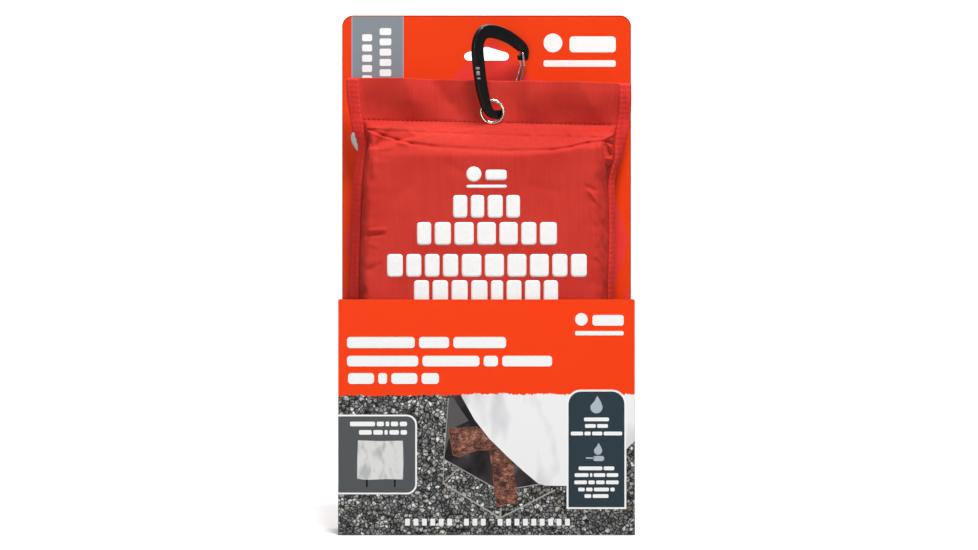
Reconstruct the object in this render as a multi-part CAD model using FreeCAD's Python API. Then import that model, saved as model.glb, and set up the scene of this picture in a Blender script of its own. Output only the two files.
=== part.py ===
"""Fire blanket in a hanging retail carton, in millimetres.

A folded fibreglass blanket sits in a soft red pouch with an open bottom. The pouch stands in a board tray
glued to a tall backing card, and a wire-gate carabiner hangs in the eyelet of the pouch's header.
+X is to the right, +Y points back through the backing card and +Z is up. The origin is the centre of the
carton's footprint, on the plane that it stands on. The pouch's seams lie on the plane Y = 0.
"""

import FreeCAD, Part
import math
import os

from FreeCAD import Vector

# Carton: a tall backing card with a hang slot, and a tray with an open top.
CARTON_WIDTH = 208.0
CARTON_DEPTH = 39.0
CARD_HEIGHT = 369.0
CARD_THICKNESS = 1.0
CARD_CORNER_RADIUS = 8.0
TRAY_HEIGHT = 165.0
BOARD = 0.6
GLUE_FLAP_WIDTH = 12.0
GLUE_FLAP_INSET = 3.0
DUST_FLAP_LENGTH = 34.0
DUST_FLAP_HALF_DEPTH = 16.4
CREASE_RADIUS = 0.54
SLOT_WIDTH = 32.0
SLOT_HEIGHT = 9.8
SLOT_DROP = 32.5
SLOT_END_RADIUS = 3.0
SLOT_CROWN_RADIUS = 4.0

# Base flap: a panel hinged on the card's bottom edge, with a tab that tucks in behind the tray's front.
FLAP_HINGE_GAP = 0.4
FLAP_SIDE_GAP = 0.3
FLAP_TOP_GAP = 0.1
TAB_HALF_WIDTH = 42.0
TAB_ROOT = 0.1
TAB_HEIGHT = 6.4
TAB_LEAN = 0.9

# Pouch: two fabric panels, flat in the header and full over the blanket, bound along both side edges.
FABRIC = 0.5
SEAM_GAP = 0.05
LAYER_GAP = 0.05
POUCH_BOTTOM = 4.0
HEADER_STITCH = 290.0
STITCH_ALLOWANCE = 1.0
POUCH_TOP = 320.5
HEADER_HALF_WIDTH = 101.5
BODY_HALF_WIDTH = 93.5
SHOULDER_BOTTOM = 262.0
BINDING_WIDTH = 9.0
BINDING_THICKNESS = 0.6
BULGE_HALF_WIDTH = 84.2
FACE_HALF_WIDTH = 79.8
FACE_TOP = 273.0
FRONT_DEPTH = 16.9
BACK_DEPTH = 15.6

# Folded blanket: legs of stacked cloth joined by turns at the top and the bottom alternately.
BLANKET_WIDTH = 158.0
BLANKET_BOTTOM = 8.0
BLANKET_TOP = 268.0
BLANKET_DEPTH = 27.8
FOLD_LEGS = 7
FOLD_GAP = 0.25

# Pull tapes: sewn to the blanket's front, turned up round the pouch's bottom edge.
TAPE_WIDTH = 25.0
TAPE_THICKNESS = 1.2
TAPE_CENTRE_X = 60.0
TAPE_SEWN_TOP = 62.0
TAPE_FREE_TOP = 96.0
TAPE_TURN_Z = 4.0
TAPE_TRAY_GAP = 0.4

# Side label: a small tab with a round end, sewn behind the left binding at the shoulder.
LABEL_INNER_X = 90.0
LABEL_SHOULDER_X = 97.0
LABEL_TIP_X = 101.8
LABEL_Z = 276.6
LABEL_HEIGHT = 13.8
LABEL_THICKNESS = 0.5

# Eyelet in the header: a flanged barrel rolled over a washer.
EYELET_X = 4.2
EYELET_Z = 298.0
EYELET_BORE = 6.9
EYELET_WALL = 0.5
EYELET_RADIUS = 8.9
EYELET_CROWN = 0.95
FLANGE_LIP = 0.3
FLANGE_SHOULDER = 0.25
FLANGE_SHOULDER_HEIGHT = 0.82
RIM_WIDTH = 0.95
RIM_CROWN = 0.55
RIM_LIP = 0.15
WASHER_THICKNESS = 0.5

# Carabiner: in its own plane, U runs across, W up and N out of the plane, from the eyelet's centre.
CARABINER_TURN = 38.0
CARABINER_LEAN = 11.0
BAR_THICKNESS = 4.2
BAR_ROUNDING = 1.3
HINGE_POINT = (16.8, 1.7)
NOSE_POINT = (29.2, 37.8)
CENTRE_LINE = [
    HINGE_POINT,
    (7.1, -2.1),
    (-1.3, -0.9),
    (-6.9, 8.2),
    (-10.8, 23.7),
    (-12.8, 37.6),
    (-13.0, 48.6),
    (-8.6, 55.8),
    (1.9, 56.4),
    (12.8, 52.8),
    (22.8, 47.3),
    (28.9, 41.7),
    NOSE_POINT,
]
BAR_HALF_WIDTHS = [3.0, 3.2, 3.2, 4.0, 4.5, 4.6, 4.5, 4.7, 4.8, 4.6, 4.3, 3.9, 3.2]
BAR_STATIONS = 36
NOSE_THINS_FROM = 0.88
NOSE_THIN_FROM = 0.95
NOSE_THICKNESS = 2.2
BEAK_POINT = (25.2, 37.3)
BEAK_RADIUS = 2.1
WIRE_RADIUS = 0.75
WIRE_PIN_DEPTH = 1.2
PIN_CLEARANCE = 0.05
LATCH_POINT = (25.9, 40.3)
LATCH_CLEARANCE = 0.2
LATCH_MOUTH = 8.0
GATE_KNEE = (27.3, 31.1)
GATE_HINGE_SPREAD = BAR_THICKNESS / 2 + WIRE_RADIUS + LATCH_CLEARANCE
GATE_LATCH_SPREAD = NOSE_THICKNESS / 2 + WIRE_RADIUS + LATCH_CLEARANCE

# Extra length that a cutting shape has past the face it cuts.
CUT_SPARE = 1.0
TOLERANCE = 0.001

HALF_WIDTH = CARTON_WIDTH / 2
CARD_REAR = CARTON_DEPTH / 2
CARD_FACE = CARD_REAR - CARD_THICKNESS
TRAY_FRONT = -CARTON_DEPTH / 2
TRAY_INSIDE = TRAY_FRONT + BOARD


def span_box(x, y, z):
    """A box from its (low, high) span along each axis."""
    corner = Vector(x[0], y[0], z[0])
    return Part.makeBox(x[1] - x[0], y[1] - y[0], z[1] - z[0], corner)


def polygon_face(points):
    """A flat face from its corner points."""
    return Part.Face(Part.makePolygon([*points, points[0]]))


def hull_wire(circles, y):
    """The outline round circles (x, z, radius), given anticlockwise, on a plane of constant Y."""
    tangents = []
    for (x0, z0, r0), (x1, z1, r1) in zip(circles, circles[1:] + circles[:1]):
        distance = math.hypot(x1 - x0, z1 - z0)
        angle = math.atan2(z1 - z0, x1 - x0) - math.acos((r0 - r1) / distance)
        out = (math.cos(angle), math.sin(angle))
        start = Vector(x0 + r0 * out[0], y, z0 + r0 * out[1])
        end = Vector(x1 + r1 * out[0], y, z1 + r1 * out[1])
        tangents.append((angle, start, end))
    edges = []
    for i, (angle, start, end) in enumerate(tangents):
        next_angle, next_start, _ = tangents[(i + 1) % len(tangents)]
        x, z, radius = circles[(i + 1) % len(circles)]
        middle = angle + ((next_angle - angle) % (2 * math.pi)) / 2
        crown = Vector(x + radius * math.cos(middle), y, z + radius * math.sin(middle))
        edges.append(Part.makeLine(start, end))
        edges.append(Part.Arc(end, crown, next_start).toShape())
    return Part.Wire(edges)


def backing_card():
    """The tall card, with two rounded top corners and a hang slot that rises to a crown at its middle."""
    card = span_box((-HALF_WIDTH, HALF_WIDTH), (CARD_FACE, CARD_REAR), (0, CARD_HEIGHT))
    corners = [
        edge
        for edge in card.Edges
        if abs(edge.BoundBox.YLength - CARD_THICKNESS) < TOLERANCE
        and edge.BoundBox.ZMin > CARD_HEIGHT - TOLERANCE
    ]
    card = card.makeFillet(CARD_CORNER_RADIUS, corners)
    end_x = SLOT_WIDTH / 2 - SLOT_END_RADIUS
    end_z = CARD_HEIGHT - SLOT_DROP + SLOT_END_RADIUS
    crown_z = CARD_HEIGHT - SLOT_DROP + SLOT_HEIGHT - SLOT_CROWN_RADIUS
    circles = [
        (-end_x, end_z, SLOT_END_RADIUS),
        (end_x, end_z, SLOT_END_RADIUS),
        (0.0, crown_z, SLOT_CROWN_RADIUS),
    ]
    outline = Part.Face(hull_wire(circles, CARD_FACE - CUT_SPARE))
    slot = outline.extrude(Vector(0, CARD_THICKNESS + 2 * CUT_SPARE, 0))
    return card.cut(slot)


def front_tray():
    """One folded board: a front, and two sides that each carry a glue flap and a dust flap."""
    inner = HALF_WIDTH - BOARD
    glue_span = (GLUE_FLAP_INSET, TRAY_HEIGHT - GLUE_FLAP_INSET)
    dust_low = BOARD + FLAP_TOP_GAP
    dust_span = (-DUST_FLAP_HALF_DEPTH, DUST_FLAP_HALF_DEPTH)
    tray = span_box((-HALF_WIDTH, HALF_WIDTH), (TRAY_FRONT, TRAY_INSIDE), (0, TRAY_HEIGHT))
    for side in (-1, 1):
        wall = sorted((side * inner, side * HALF_WIDTH))
        glue = sorted((side * inner, side * (inner - GLUE_FLAP_WIDTH)))
        dust = sorted((side * inner, side * (inner - DUST_FLAP_LENGTH)))
        tray = tray.fuse(span_box(wall, (TRAY_INSIDE, CARD_FACE), (0, TRAY_HEIGHT)))
        tray = tray.fuse(span_box(glue, (CARD_FACE - BOARD, CARD_FACE), glue_span))
        tray = tray.fuse(span_box(dust, dust_span, (dust_low, dust_low + BOARD)))
    tray = tray.removeSplitter()
    creases = [
        edge
        for edge in tray.Edges
        if abs(edge.BoundBox.ZLength - TRAY_HEIGHT) < TOLERANCE
        and edge.BoundBox.YMax < TRAY_FRONT + TOLERANCE
        and abs(edge.BoundBox.XMin) > HALF_WIDTH - TOLERANCE
    ]
    return tray.makeFillet(CREASE_RADIUS, creases)


def base_flap():
    """The hinged base panel and its tuck tab, which leans back to swing clear of the tray's front."""
    half = HALF_WIDTH - BOARD - FLAP_SIDE_GAP
    front = TRAY_INSIDE + FLAP_SIDE_GAP
    panel = span_box((-half, half), (front, CARD_FACE - FLAP_HINGE_GAP), (0, BOARD))
    tab = polygon_face(
        [
            Vector(-TAB_HALF_WIDTH, front, TAB_ROOT),
            Vector(-TAB_HALF_WIDTH, front + BOARD, TAB_ROOT),
            Vector(-TAB_HALF_WIDTH, front + TAB_LEAN + BOARD, TAB_HEIGHT),
            Vector(-TAB_HALF_WIDTH, front + TAB_LEAN, TAB_HEIGHT),
        ]
    ).extrude(Vector(2 * TAB_HALF_WIDTH, 0, 0))
    return panel.fuse(tab).removeSplitter()


def pouch_outline(inset, y):
    """The pouch's flat outline, drawn in by inset along its sides, as a face on a plane of constant Y."""
    wide = HEADER_HALF_WIDTH - inset
    narrow = BODY_HALF_WIDTH - inset
    right = [
        (narrow, POUCH_BOTTOM),
        (narrow, SHOULDER_BOTTOM),
        (wide, HEADER_STITCH),
        (wide, POUCH_TOP),
    ]
    left = [(-x, z) for x, z in reversed(right)]
    return polygon_face([Vector(x, y, z) for x, z in right + left])


def bulge(depth, inset, bottom):
    """The full part of a panel: from a rectangle on the seam plane to a smaller one at depth along Y."""
    side = math.copysign(1.0, depth)
    sections = []
    for half, top, y in (
        (BULGE_HALF_WIDTH, HEADER_STITCH - STITCH_ALLOWANCE, 0.0),
        (FACE_HALF_WIDTH, FACE_TOP, depth - side * inset),
    ):
        half -= inset
        top -= inset
        corners = [(-half, bottom), (half, bottom), (half, top), (-half, top)]
        points = [Vector(x, y, z) for x, z in corners]
        sections.append(Part.makePolygon([*points, points[0]]))
    return Part.makeLoft(sections, True, True)


def pouch_panel(depth):
    """One fabric panel. depth is how far its face stands off the seam plane, negative towards the front."""
    side = math.copysign(1.0, depth)
    sheet = pouch_outline(0.0, side * SEAM_GAP).extrude(Vector(0, side * FABRIC, 0))
    shell = bulge(depth, 0.0, POUCH_BOTTOM)
    hollow = bulge(depth, FABRIC, POUCH_BOTTOM - CUT_SPARE)
    seam_side = span_box((-CARTON_WIDTH, CARTON_WIDTH), sorted((0.0, side * SEAM_GAP)), (0, CARD_HEIGHT))
    radius = EYELET_BORE + EYELET_WALL + 2 * LAYER_GAP
    hole = Part.makeCylinder(radius, CARTON_DEPTH, Vector(EYELET_X, TRAY_FRONT, EYELET_Z), Vector(0, 1, 0))
    return sheet.fuse(shell).cut(hollow).cut(seam_side).cut(hole).removeSplitter()


def binding_tape(side):
    """Tape folded over one side edge of both panels, from the pouch's bottom to its top."""
    half_fabric = SEAM_GAP + FABRIC + LAYER_GAP
    half_tape = half_fabric + BINDING_THICKNESS
    outer = pouch_outline(-BINDING_THICKNESS - LAYER_GAP, -half_tape).extrude(Vector(0, 2 * half_tape, 0))
    inner = pouch_outline(BINDING_WIDTH, -half_tape).extrude(Vector(0, 2 * half_tape, 0))
    fold = pouch_outline(-LAYER_GAP, -half_fabric).extrude(Vector(0, 2 * half_fabric, 0))
    keep = span_box(sorted((0, side * CARTON_WIDTH)), (TRAY_FRONT, CARD_REAR), (0, CARD_HEIGHT))
    return outer.cut(inner).cut(fold).common(keep)


def side_label():
    """The tab: flat against the binding's rear, with its round end past the pouch's left edge."""
    y = SEAM_GAP + FABRIC + BINDING_THICKNESS + 2 * LAYER_GAP
    low = LABEL_Z - LABEL_HEIGHT / 2
    high = LABEL_Z + LABEL_HEIGHT / 2
    inner_low = Vector(-LABEL_INNER_X, y, low)
    inner_high = Vector(-LABEL_INNER_X, y, high)
    outer_low = Vector(-LABEL_SHOULDER_X, y, low)
    outer_high = Vector(-LABEL_SHOULDER_X, y, high)
    edges = [
        Part.makeLine(inner_low, inner_high),
        Part.makeLine(inner_high, outer_high),
        Part.Arc(outer_high, Vector(-LABEL_TIP_X, y, LABEL_Z), outer_low).toShape(),
        Part.makeLine(outer_low, inner_low),
    ]
    return Part.Face(Part.Wire(edges)).extrude(Vector(0, LABEL_THICKNESS, 0))


def folded_blanket():
    """A concertina of FOLD_LEGS legs, with half-round turns at the top and the bottom."""
    pitch = (BLANKET_DEPTH + FOLD_GAP) / FOLD_LEGS
    thickness = pitch - FOLD_GAP
    half = BLANKET_WIDTH / 2
    low = BLANKET_BOTTOM + pitch
    high = BLANKET_TOP - pitch
    stack = None
    for i in range(FOLD_LEGS):
        y = -BLANKET_DEPTH / 2 + i * pitch
        first = BLANKET_BOTTOM if i == 0 else low
        last = BLANKET_TOP if i == FOLD_LEGS - 1 else high
        leg = span_box((-half, half), (y, y + thickness), (first, last))
        stack = leg if stack is None else stack.fuse(leg)
        if i == FOLD_LEGS - 1:
            break
        turn_y = y + thickness + FOLD_GAP / 2
        turn_z = high if i % 2 == 0 else low
        axis = Vector(1, 0, 0)
        start = Vector(-half, turn_y, turn_z)
        outer = Part.makeCylinder(thickness + FOLD_GAP / 2, BLANKET_WIDTH, start, axis)
        inner = Part.makeCylinder(FOLD_GAP / 2, BLANKET_WIDTH, start, axis)
        reach = (turn_z, turn_z + 2 * pitch) if i % 2 == 0 else (turn_z - 2 * pitch, turn_z)
        stack = stack.fuse(outer.cut(inner).common(span_box((-half, half), (TRAY_FRONT, CARD_REAR), reach)))
    return stack.removeSplitter()


def pull_tape(side):
    """Webbing down the blanket's front, round the pouch's bottom edge and up behind the tray's front."""
    inner_y = -BLANKET_DEPTH / 2 - LAYER_GAP
    outer_y = TRAY_INSIDE + TAPE_TRAY_GAP + TAPE_THICKNESS
    turn_y = (inner_y - TAPE_THICKNESS + outer_y) / 2
    inner_radius = (inner_y - TAPE_THICKNESS - outer_y) / 2
    left = side * TAPE_CENTRE_X - TAPE_WIDTH / 2
    x = (left, left + TAPE_WIDTH)
    sewn = span_box(x, (inner_y - TAPE_THICKNESS, inner_y), (TAPE_TURN_Z, TAPE_SEWN_TOP))
    free = span_box(x, (outer_y - TAPE_THICKNESS, outer_y), (TAPE_TURN_Z, TAPE_FREE_TOP))
    start = Vector(left, turn_y, TAPE_TURN_Z)
    axis = Vector(1, 0, 0)
    outer = Part.makeCylinder(inner_radius + TAPE_THICKNESS, TAPE_WIDTH, start, axis)
    core = Part.makeCylinder(inner_radius, TAPE_WIDTH, start, axis)
    turn = outer.cut(core).common(span_box(x, (TRAY_FRONT, 0), (-TAPE_TURN_Z, TAPE_TURN_Z)))
    return sewn.fuse(turn).fuse(free).removeSplitter()


def revolve_round_eyelet(edges):
    """Turns a closed profile of (radius, y) edges about the eyelet's axis."""
    face = Part.Face(Part.Wire(edges))
    face.translate(Vector(EYELET_X, 0, EYELET_Z))
    return face.revolve(Vector(EYELET_X, 0, EYELET_Z), Vector(0, 1, 0), 360)


def eyelet_barrel():
    """The barrel, with a domed flange in front and a rim rolled over the washer behind."""
    seat = SEAM_GAP + FABRIC + LAYER_GAP
    rim = seat + WASHER_THICKNESS + LAYER_GAP
    outer = EYELET_BORE + EYELET_WALL
    crown = (EYELET_BORE + EYELET_RADIUS) / 2

    def point(radius, y):
        return Vector(radius, y, 0)

    bore_front = point(EYELET_BORE, -seat - FLANGE_LIP)
    crown_front = point(crown, -seat - EYELET_CROWN)
    flange_edge = point(EYELET_RADIUS, -seat)
    seat_inner = point(outer, -seat)
    rim_inner = point(outer, rim)
    rim_edge = point(outer + RIM_WIDTH, rim)
    bore_back = point(EYELET_BORE, rim - RIM_LIP)
    flange_rise = point(EYELET_BORE + FLANGE_SHOULDER, -seat - FLANGE_SHOULDER_HEIGHT)
    flange_fall = point(EYELET_RADIUS - FLANGE_SHOULDER, -seat - FLANGE_SHOULDER_HEIGHT)
    rim_crown = point(outer + FLANGE_LIP, rim + RIM_CROWN)
    edges = [
        Part.Arc(bore_front, flange_rise, crown_front).toShape(),
        Part.Arc(crown_front, flange_fall, flange_edge).toShape(),
        Part.makeLine(flange_edge, seat_inner),
        Part.makeLine(seat_inner, rim_inner),
        Part.makeLine(rim_inner, rim_edge),
        Part.Arc(rim_edge, rim_crown, bore_back).toShape(),
        Part.makeLine(bore_back, bore_front),
    ]
    return revolve_round_eyelet(edges)


def eyelet_washer():
    """The flat ring that the barrel is rolled over, against the rear panel."""
    inner = EYELET_BORE + EYELET_WALL + LAYER_GAP
    y = SEAM_GAP + FABRIC + LAYER_GAP
    corners = [
        Vector(inner, y, 0),
        Vector(EYELET_RADIUS, y, 0),
        Vector(EYELET_RADIUS, y + WASHER_THICKNESS, 0),
        Vector(inner, y + WASHER_THICKNESS, 0),
    ]
    edges = [Part.makeLine(a, b) for a, b in zip(corners, corners[1:] + corners[:1])]
    return revolve_round_eyelet(edges)


def carabiner_axes():
    """The carabiner's own axes: turned about the vertical, then leant forward about the X axis."""
    turn = math.radians(CARABINER_TURN)
    lean = math.radians(CARABINER_LEAN)
    up = Vector(0, -math.sin(lean), math.cos(lean))
    level = Vector(0, math.cos(lean), math.sin(lean))
    across = Vector(math.cos(turn), 0, 0) + level * math.sin(turn)
    return across, up, across.cross(up)


def place_carabiner(shape):
    """Moves a shape from the carabiner's own axes to the pouch's eyelet."""
    across, up, out = carabiner_axes()
    matrix = FreeCAD.Matrix(
        across.x, up.x, out.x, EYELET_X,
        across.y, up.y, out.y, 0.0,
        across.z, up.z, out.z, EYELET_Z,
        0.0, 0.0, 0.0, 1.0,
    )
    placed = shape.copy()
    placed.Placement = FreeCAD.Placement(matrix)
    return placed


def bar_section(centre, along, half_width, half_thickness):
    """A rectangle with rounded corners, square to the bar's centre line."""
    across = Vector(-along.y, along.x, 0)
    out = Vector(0, 0, 1)
    rounding = min(BAR_ROUNDING, 0.8 * half_thickness)
    edges = []
    ends = []
    for a, b in ((1, 1), (-1, 1), (-1, -1), (1, -1)):
        middle = centre + across * (a * (half_width - rounding)) + out * (b * (half_thickness - rounding))
        side_point = middle + across * (a * rounding)
        face_point = middle + out * (b * rounding)
        crown = middle + (across * a + out * b) * (rounding / math.sqrt(2))
        start, finish = (side_point, face_point) if a == b else (face_point, side_point)
        if ends:
            edges.append(Part.makeLine(ends[-1], start))
        edges.append(Part.Arc(start, crown, finish).toShape())
        ends += [start, finish]
    edges.append(Part.makeLine(ends[-1], ends[0]))
    return Part.Wire(edges)


def bar_along_centre_line():
    """The bar, lofted through its sections. It thins towards the nose, between the gate's two wires."""
    line = Part.BSplineCurve()
    line.interpolate([Vector(u, w, half) for (u, w), half in zip(CENTRE_LINE, BAR_HALF_WIDTHS)])
    first, last = line.FirstParameter, line.LastParameter
    sections = []
    for i in range(BAR_STATIONS + 1):
        share = i / BAR_STATIONS
        parameter = first + (last - first) * share
        point = line.value(parameter)
        slope = line.tangent(parameter)[0]
        thinning = min(1.0, max(0.0, (share - NOSE_THINS_FROM) / (NOSE_THIN_FROM - NOSE_THINS_FROM)))
        half_thickness = (BAR_THICKNESS - thinning * (BAR_THICKNESS - NOSE_THICKNESS)) / 2
        centre = Vector(point.x, point.y, 0)
        along = Vector(slope.x, slope.y, 0).normalize()
        sections.append(bar_section(centre, along, point.z, half_thickness))
    return Part.makeLoft(sections, True, False)


def round_end(point, radius, thickness, rounding):
    """A round end for the bar: a disc with rounded rims, centred on a point (u, w)."""
    disc = Part.makeCylinder(radius, thickness, Vector(*point, -thickness / 2))
    rims = [edge for edge in disc.Edges if edge.BoundBox.ZLength < TOLERANCE]
    return disc.makeFillet(rounding, rims)


def latch_slot():
    """The notch in the nose for the gate's cross bar, cut along the path of the opening gate."""
    reach_u = LATCH_POINT[0] - HINGE_POINT[0]
    reach_w = LATCH_POINT[1] - HINGE_POINT[1]
    swing = math.degrees(math.atan2(reach_u, -reach_w))
    radius = WIRE_RADIUS + LATCH_CLEARANCE
    latch = Vector(*LATCH_POINT, -BAR_THICKNESS)
    floor = Part.makeCylinder(radius, 2 * BAR_THICKNESS, latch)
    mouth = Part.makeBox(LATCH_MOUTH, 2 * radius, 2 * BAR_THICKNESS, Vector(0, -radius, -BAR_THICKNESS))
    mouth.rotate(Vector(0, 0, 0), Vector(0, 0, 1), swing)
    mouth.translate(Vector(*LATCH_POINT, 0))
    return floor.fuse(mouth)


def beak():
    """The hook below the latch slot, which holds the gate's cross bar when the loop is loaded."""
    root = (NOSE_POINT[0], BEAK_POINT[1])
    length = root[0] - BEAK_POINT[0]
    low = Vector(BEAK_POINT[0], BEAK_POINT[1] - BEAK_RADIUS, -NOSE_THICKNESS / 2)
    block = Part.makeBox(length, 2 * BEAK_RADIUS, NOSE_THICKNESS, low)
    return block.fuse(round_end(BEAK_POINT, BEAK_RADIUS, NOSE_THICKNESS, NOSE_THICKNESS / 4))


def carabiner_body():
    """A flat-sided bar with rounded edges, a hinge hole at one end and a thin, notched nose at the other."""
    bar = bar_along_centre_line()
    bar = bar.fuse(round_end(HINGE_POINT, BAR_HALF_WIDTHS[0], BAR_THICKNESS, BAR_ROUNDING))
    bar = bar.fuse(round_end(NOSE_POINT, BAR_HALF_WIDTHS[-1], NOSE_THICKNESS, NOSE_THICKNESS / 4))
    bar = bar.fuse(beak())
    pivot = Vector(*HINGE_POINT, -BAR_THICKNESS)
    bar = bar.cut(Part.makeCylinder(WIRE_RADIUS + PIN_CLEARANCE, 2 * BAR_THICKNESS, pivot))
    return place_carabiner(bar.cut(latch_slot()))


def wire(start, end):
    """A straight length of gate wire with a round ball at its far end."""
    rod = Part.makeCylinder(WIRE_RADIUS, (end - start).Length, start, end - start)
    return rod.fuse(Part.makeSphere(WIRE_RADIUS, end))


def wire_gate():
    """A wire bent to a narrow loop, its two ends in the hinge hole and its cross bar in the nose."""
    stop = Vector(*LATCH_POINT, 0)
    gate = Part.makeCylinder(
        WIRE_RADIUS, 2 * GATE_LATCH_SPREAD, stop - Vector(0, 0, GATE_LATCH_SPREAD)
    )
    for side in (-1, 1):
        path = [
            Vector(*HINGE_POINT, side * WIRE_PIN_DEPTH),
            Vector(*HINGE_POINT, side * GATE_HINGE_SPREAD),
            Vector(*GATE_KNEE, side * GATE_LATCH_SPREAD),
            Vector(*LATCH_POINT, side * GATE_LATCH_SPREAD),
        ]
        for start, end in zip(path, path[1:]):
            gate = gate.fuse(wire(start, end))
    return place_carabiner(gate.removeSplitter())


PARTS = {
    "backing_card": backing_card,
    "front_tray": front_tray,
    "base_flap": base_flap,
    "pouch_front_panel": lambda: pouch_panel(-FRONT_DEPTH),
    "pouch_back_panel": lambda: pouch_panel(BACK_DEPTH),
    "binding_tape_left": lambda: binding_tape(-1),
    "binding_tape_right": lambda: binding_tape(1),
    "side_label": side_label,
    "folded_blanket": folded_blanket,
    "pull_tape_left": lambda: pull_tape(-1),
    "pull_tape_right": lambda: pull_tape(1),
    "eyelet_barrel": eyelet_barrel,
    "eyelet_washer": eyelet_washer,
    "carabiner_body": carabiner_body,
    "wire_gate": wire_gate,
}

os.makedirs("parts", exist_ok=True)
for name, build in PARTS.items():
    shape = build()
    shape.exportStep(f"parts/{name}.step")
    print(f"{name}: valid {shape.isValid()}, solids {len(shape.Solids)}, volume {shape.Volume:.1f} mm3")
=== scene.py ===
import math
import random

import bmesh
import bpy
import numpy as np
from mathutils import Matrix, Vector
from mathutils.bvhtree import BVHTree


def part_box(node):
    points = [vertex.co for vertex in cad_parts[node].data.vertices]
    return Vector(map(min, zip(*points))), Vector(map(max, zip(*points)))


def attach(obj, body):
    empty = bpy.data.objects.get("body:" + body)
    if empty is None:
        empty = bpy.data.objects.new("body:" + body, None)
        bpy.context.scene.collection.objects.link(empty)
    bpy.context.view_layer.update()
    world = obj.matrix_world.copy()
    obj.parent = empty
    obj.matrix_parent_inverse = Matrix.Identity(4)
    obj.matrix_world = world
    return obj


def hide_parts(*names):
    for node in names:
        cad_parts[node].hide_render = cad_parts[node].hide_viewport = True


# Looks of a carded fire blanket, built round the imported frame. Shapes are worked out in millimetres and
# turned into metres when a mesh is made. +X is right, -Y is the front and +Z is up.

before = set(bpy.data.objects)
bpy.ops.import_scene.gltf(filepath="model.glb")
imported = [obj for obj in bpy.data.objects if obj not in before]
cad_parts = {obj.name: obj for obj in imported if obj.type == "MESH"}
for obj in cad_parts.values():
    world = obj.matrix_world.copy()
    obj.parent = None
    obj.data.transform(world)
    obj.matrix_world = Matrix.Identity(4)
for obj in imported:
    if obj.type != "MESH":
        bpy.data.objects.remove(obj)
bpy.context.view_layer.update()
METRE = 0.001

# The carton's faces, from the frame.
CARD_LOW, CARD_HIGH = [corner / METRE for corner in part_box("backing_card")]
TRAY_LOW, TRAY_HIGH = [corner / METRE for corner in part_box("front_tray")]
EYELET_LOW, EYELET_HIGH = [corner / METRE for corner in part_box("eyelet_barrel")]
CARD_FACE = CARD_LOW.y
CARD_REAR = CARD_HIGH.y
CARD_TOP = CARD_HIGH.z
TRAY_FRONT = TRAY_LOW.y
TRAY_TOP = TRAY_HIGH.z
HALF_WIDTH = TRAY_HIGH.x
EYELET_X = (EYELET_LOW.x + EYELET_HIGH.x) / 2
EYELET_Z = (EYELET_LOW.z + EYELET_HIGH.z) / 2

# Pouch: heights, cloth sizes and the outer edge of each binding as (z, x).
POUCH_LOW = 4.0
STITCH_Z = 290.8
POUCH_HIGH = 320.2
CLOTH = 0.5
CLOTH_FACE = 0.55
BINDING = 9.0
FRONT_DEPTH = 15.6
BACK_DEPTH = 14.6
SIDE_ROUND = 10.5
SHOULDER_SHARE = 0.80
SWELL_HEIGHT = 75.0
LEFT_EDGE = [(4, -97), (170, -96.8), (212, -95.6), (249, -94), (260, -92.6), (272, -91.2), (283, -95.2),
             (306, -98.4), (323, -99.4)]
RIGHT_EDGE = [(4, 90.4), (170, 90.4), (212, 91.4), (252, 90.6), (257, 92.2), (268, 96.2), (281, 99.2),
              (296, 101.9), (318, 102.3)]
# How far each binding turns back, in degrees: beside the body and beside the header.
LEFT_TURN = (44, 8)
RIGHT_TURN = (56, 10)
TURN_LOW = 262
TURN_RISE = 26
# The grid of a panel as (height, step above it), and its columns, closer together near the seams.
GRID_HEIGHTS = ((POUCH_LOW, 2.6), (258.0, 1.15), (293.0, 1.7), (POUCH_HIGH, 1.7))
BODY_COLUMNS = 85
EDGE_CROWDING = 0.42
FLANGE_COLUMNS = 4
MOST_BULGE = 0.9
EYELET_HOLE = 7.7
STITCH_PITCH = 3.6
STITCH_LENGTH = 2.6
HEADER_SLOPE = 0.021
HEADER_LOW = 284
EYELET_FLAT = 11

PICTURE_TOP = 97.6
PRINT_STEP = 0.03
INK_SHINE = 0.10
GROOVE_REACH = 0.22
TEAR_STEP = 0.8
TEAR_DEPTH = 1.1


# ---------------------------------------------------------------- small helpers

def smoothstep(t):
    t = np.clip(t, 0.0, 1.0)
    return t * t * (3 - 2 * t)


def soft_curve(points, at, reach=4.5):
    """Lines through (position, value) points, averaged over a short reach so that no corner is left."""
    positions, values = zip(*points)
    offsets = np.linspace(-reach, reach, 9)
    return sum(np.interp(np.asarray(at) + offset, positions, values) for offset in offsets) / len(offsets)


def display(red, green, blue):
    """A linear colour from display values of 0 to 255."""
    linear = [((v / 255 + 0.055) / 1.055) ** 2.4 if v > 10 else v / 255 / 12.92 for v in (red, green, blue)]
    return (*linear, 1.0)


def dimmed(color, share):
    return (*(v * share for v in color[:3]), 1.0)


def grid_faces(rows, columns, wrap=False):
    """Quads of a grid stored row by row. With wrap, the last column joins the first."""
    faces = []
    for row in range(rows - 1):
        for column in range(columns if wrap else columns - 1):
            right = (column + 1) % columns
            low, high = row * columns, (row + 1) * columns
            faces.append((low + column, low + right, high + right, high + column))
    return faces


def sheet_faces(rows, columns):
    """Faces of a closed sheet: one grid, its other side stored after it, and the rim between them."""
    count = rows * columns
    faces = grid_faces(rows, columns)
    faces += [tuple(count + i for i in reversed(face)) for face in faces]
    rim = list(range(columns)) + [row * columns + columns - 1 for row in range(1, rows)]
    rim += [(rows - 1) * columns + column for column in range(columns - 2, -1, -1)]
    rim += [row * columns for row in range(rows - 2, 0, -1)]
    return faces + [(a, a + count, b + count, b) for a, b in zip(rim, rim[1:] + rim[:1])]


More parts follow.
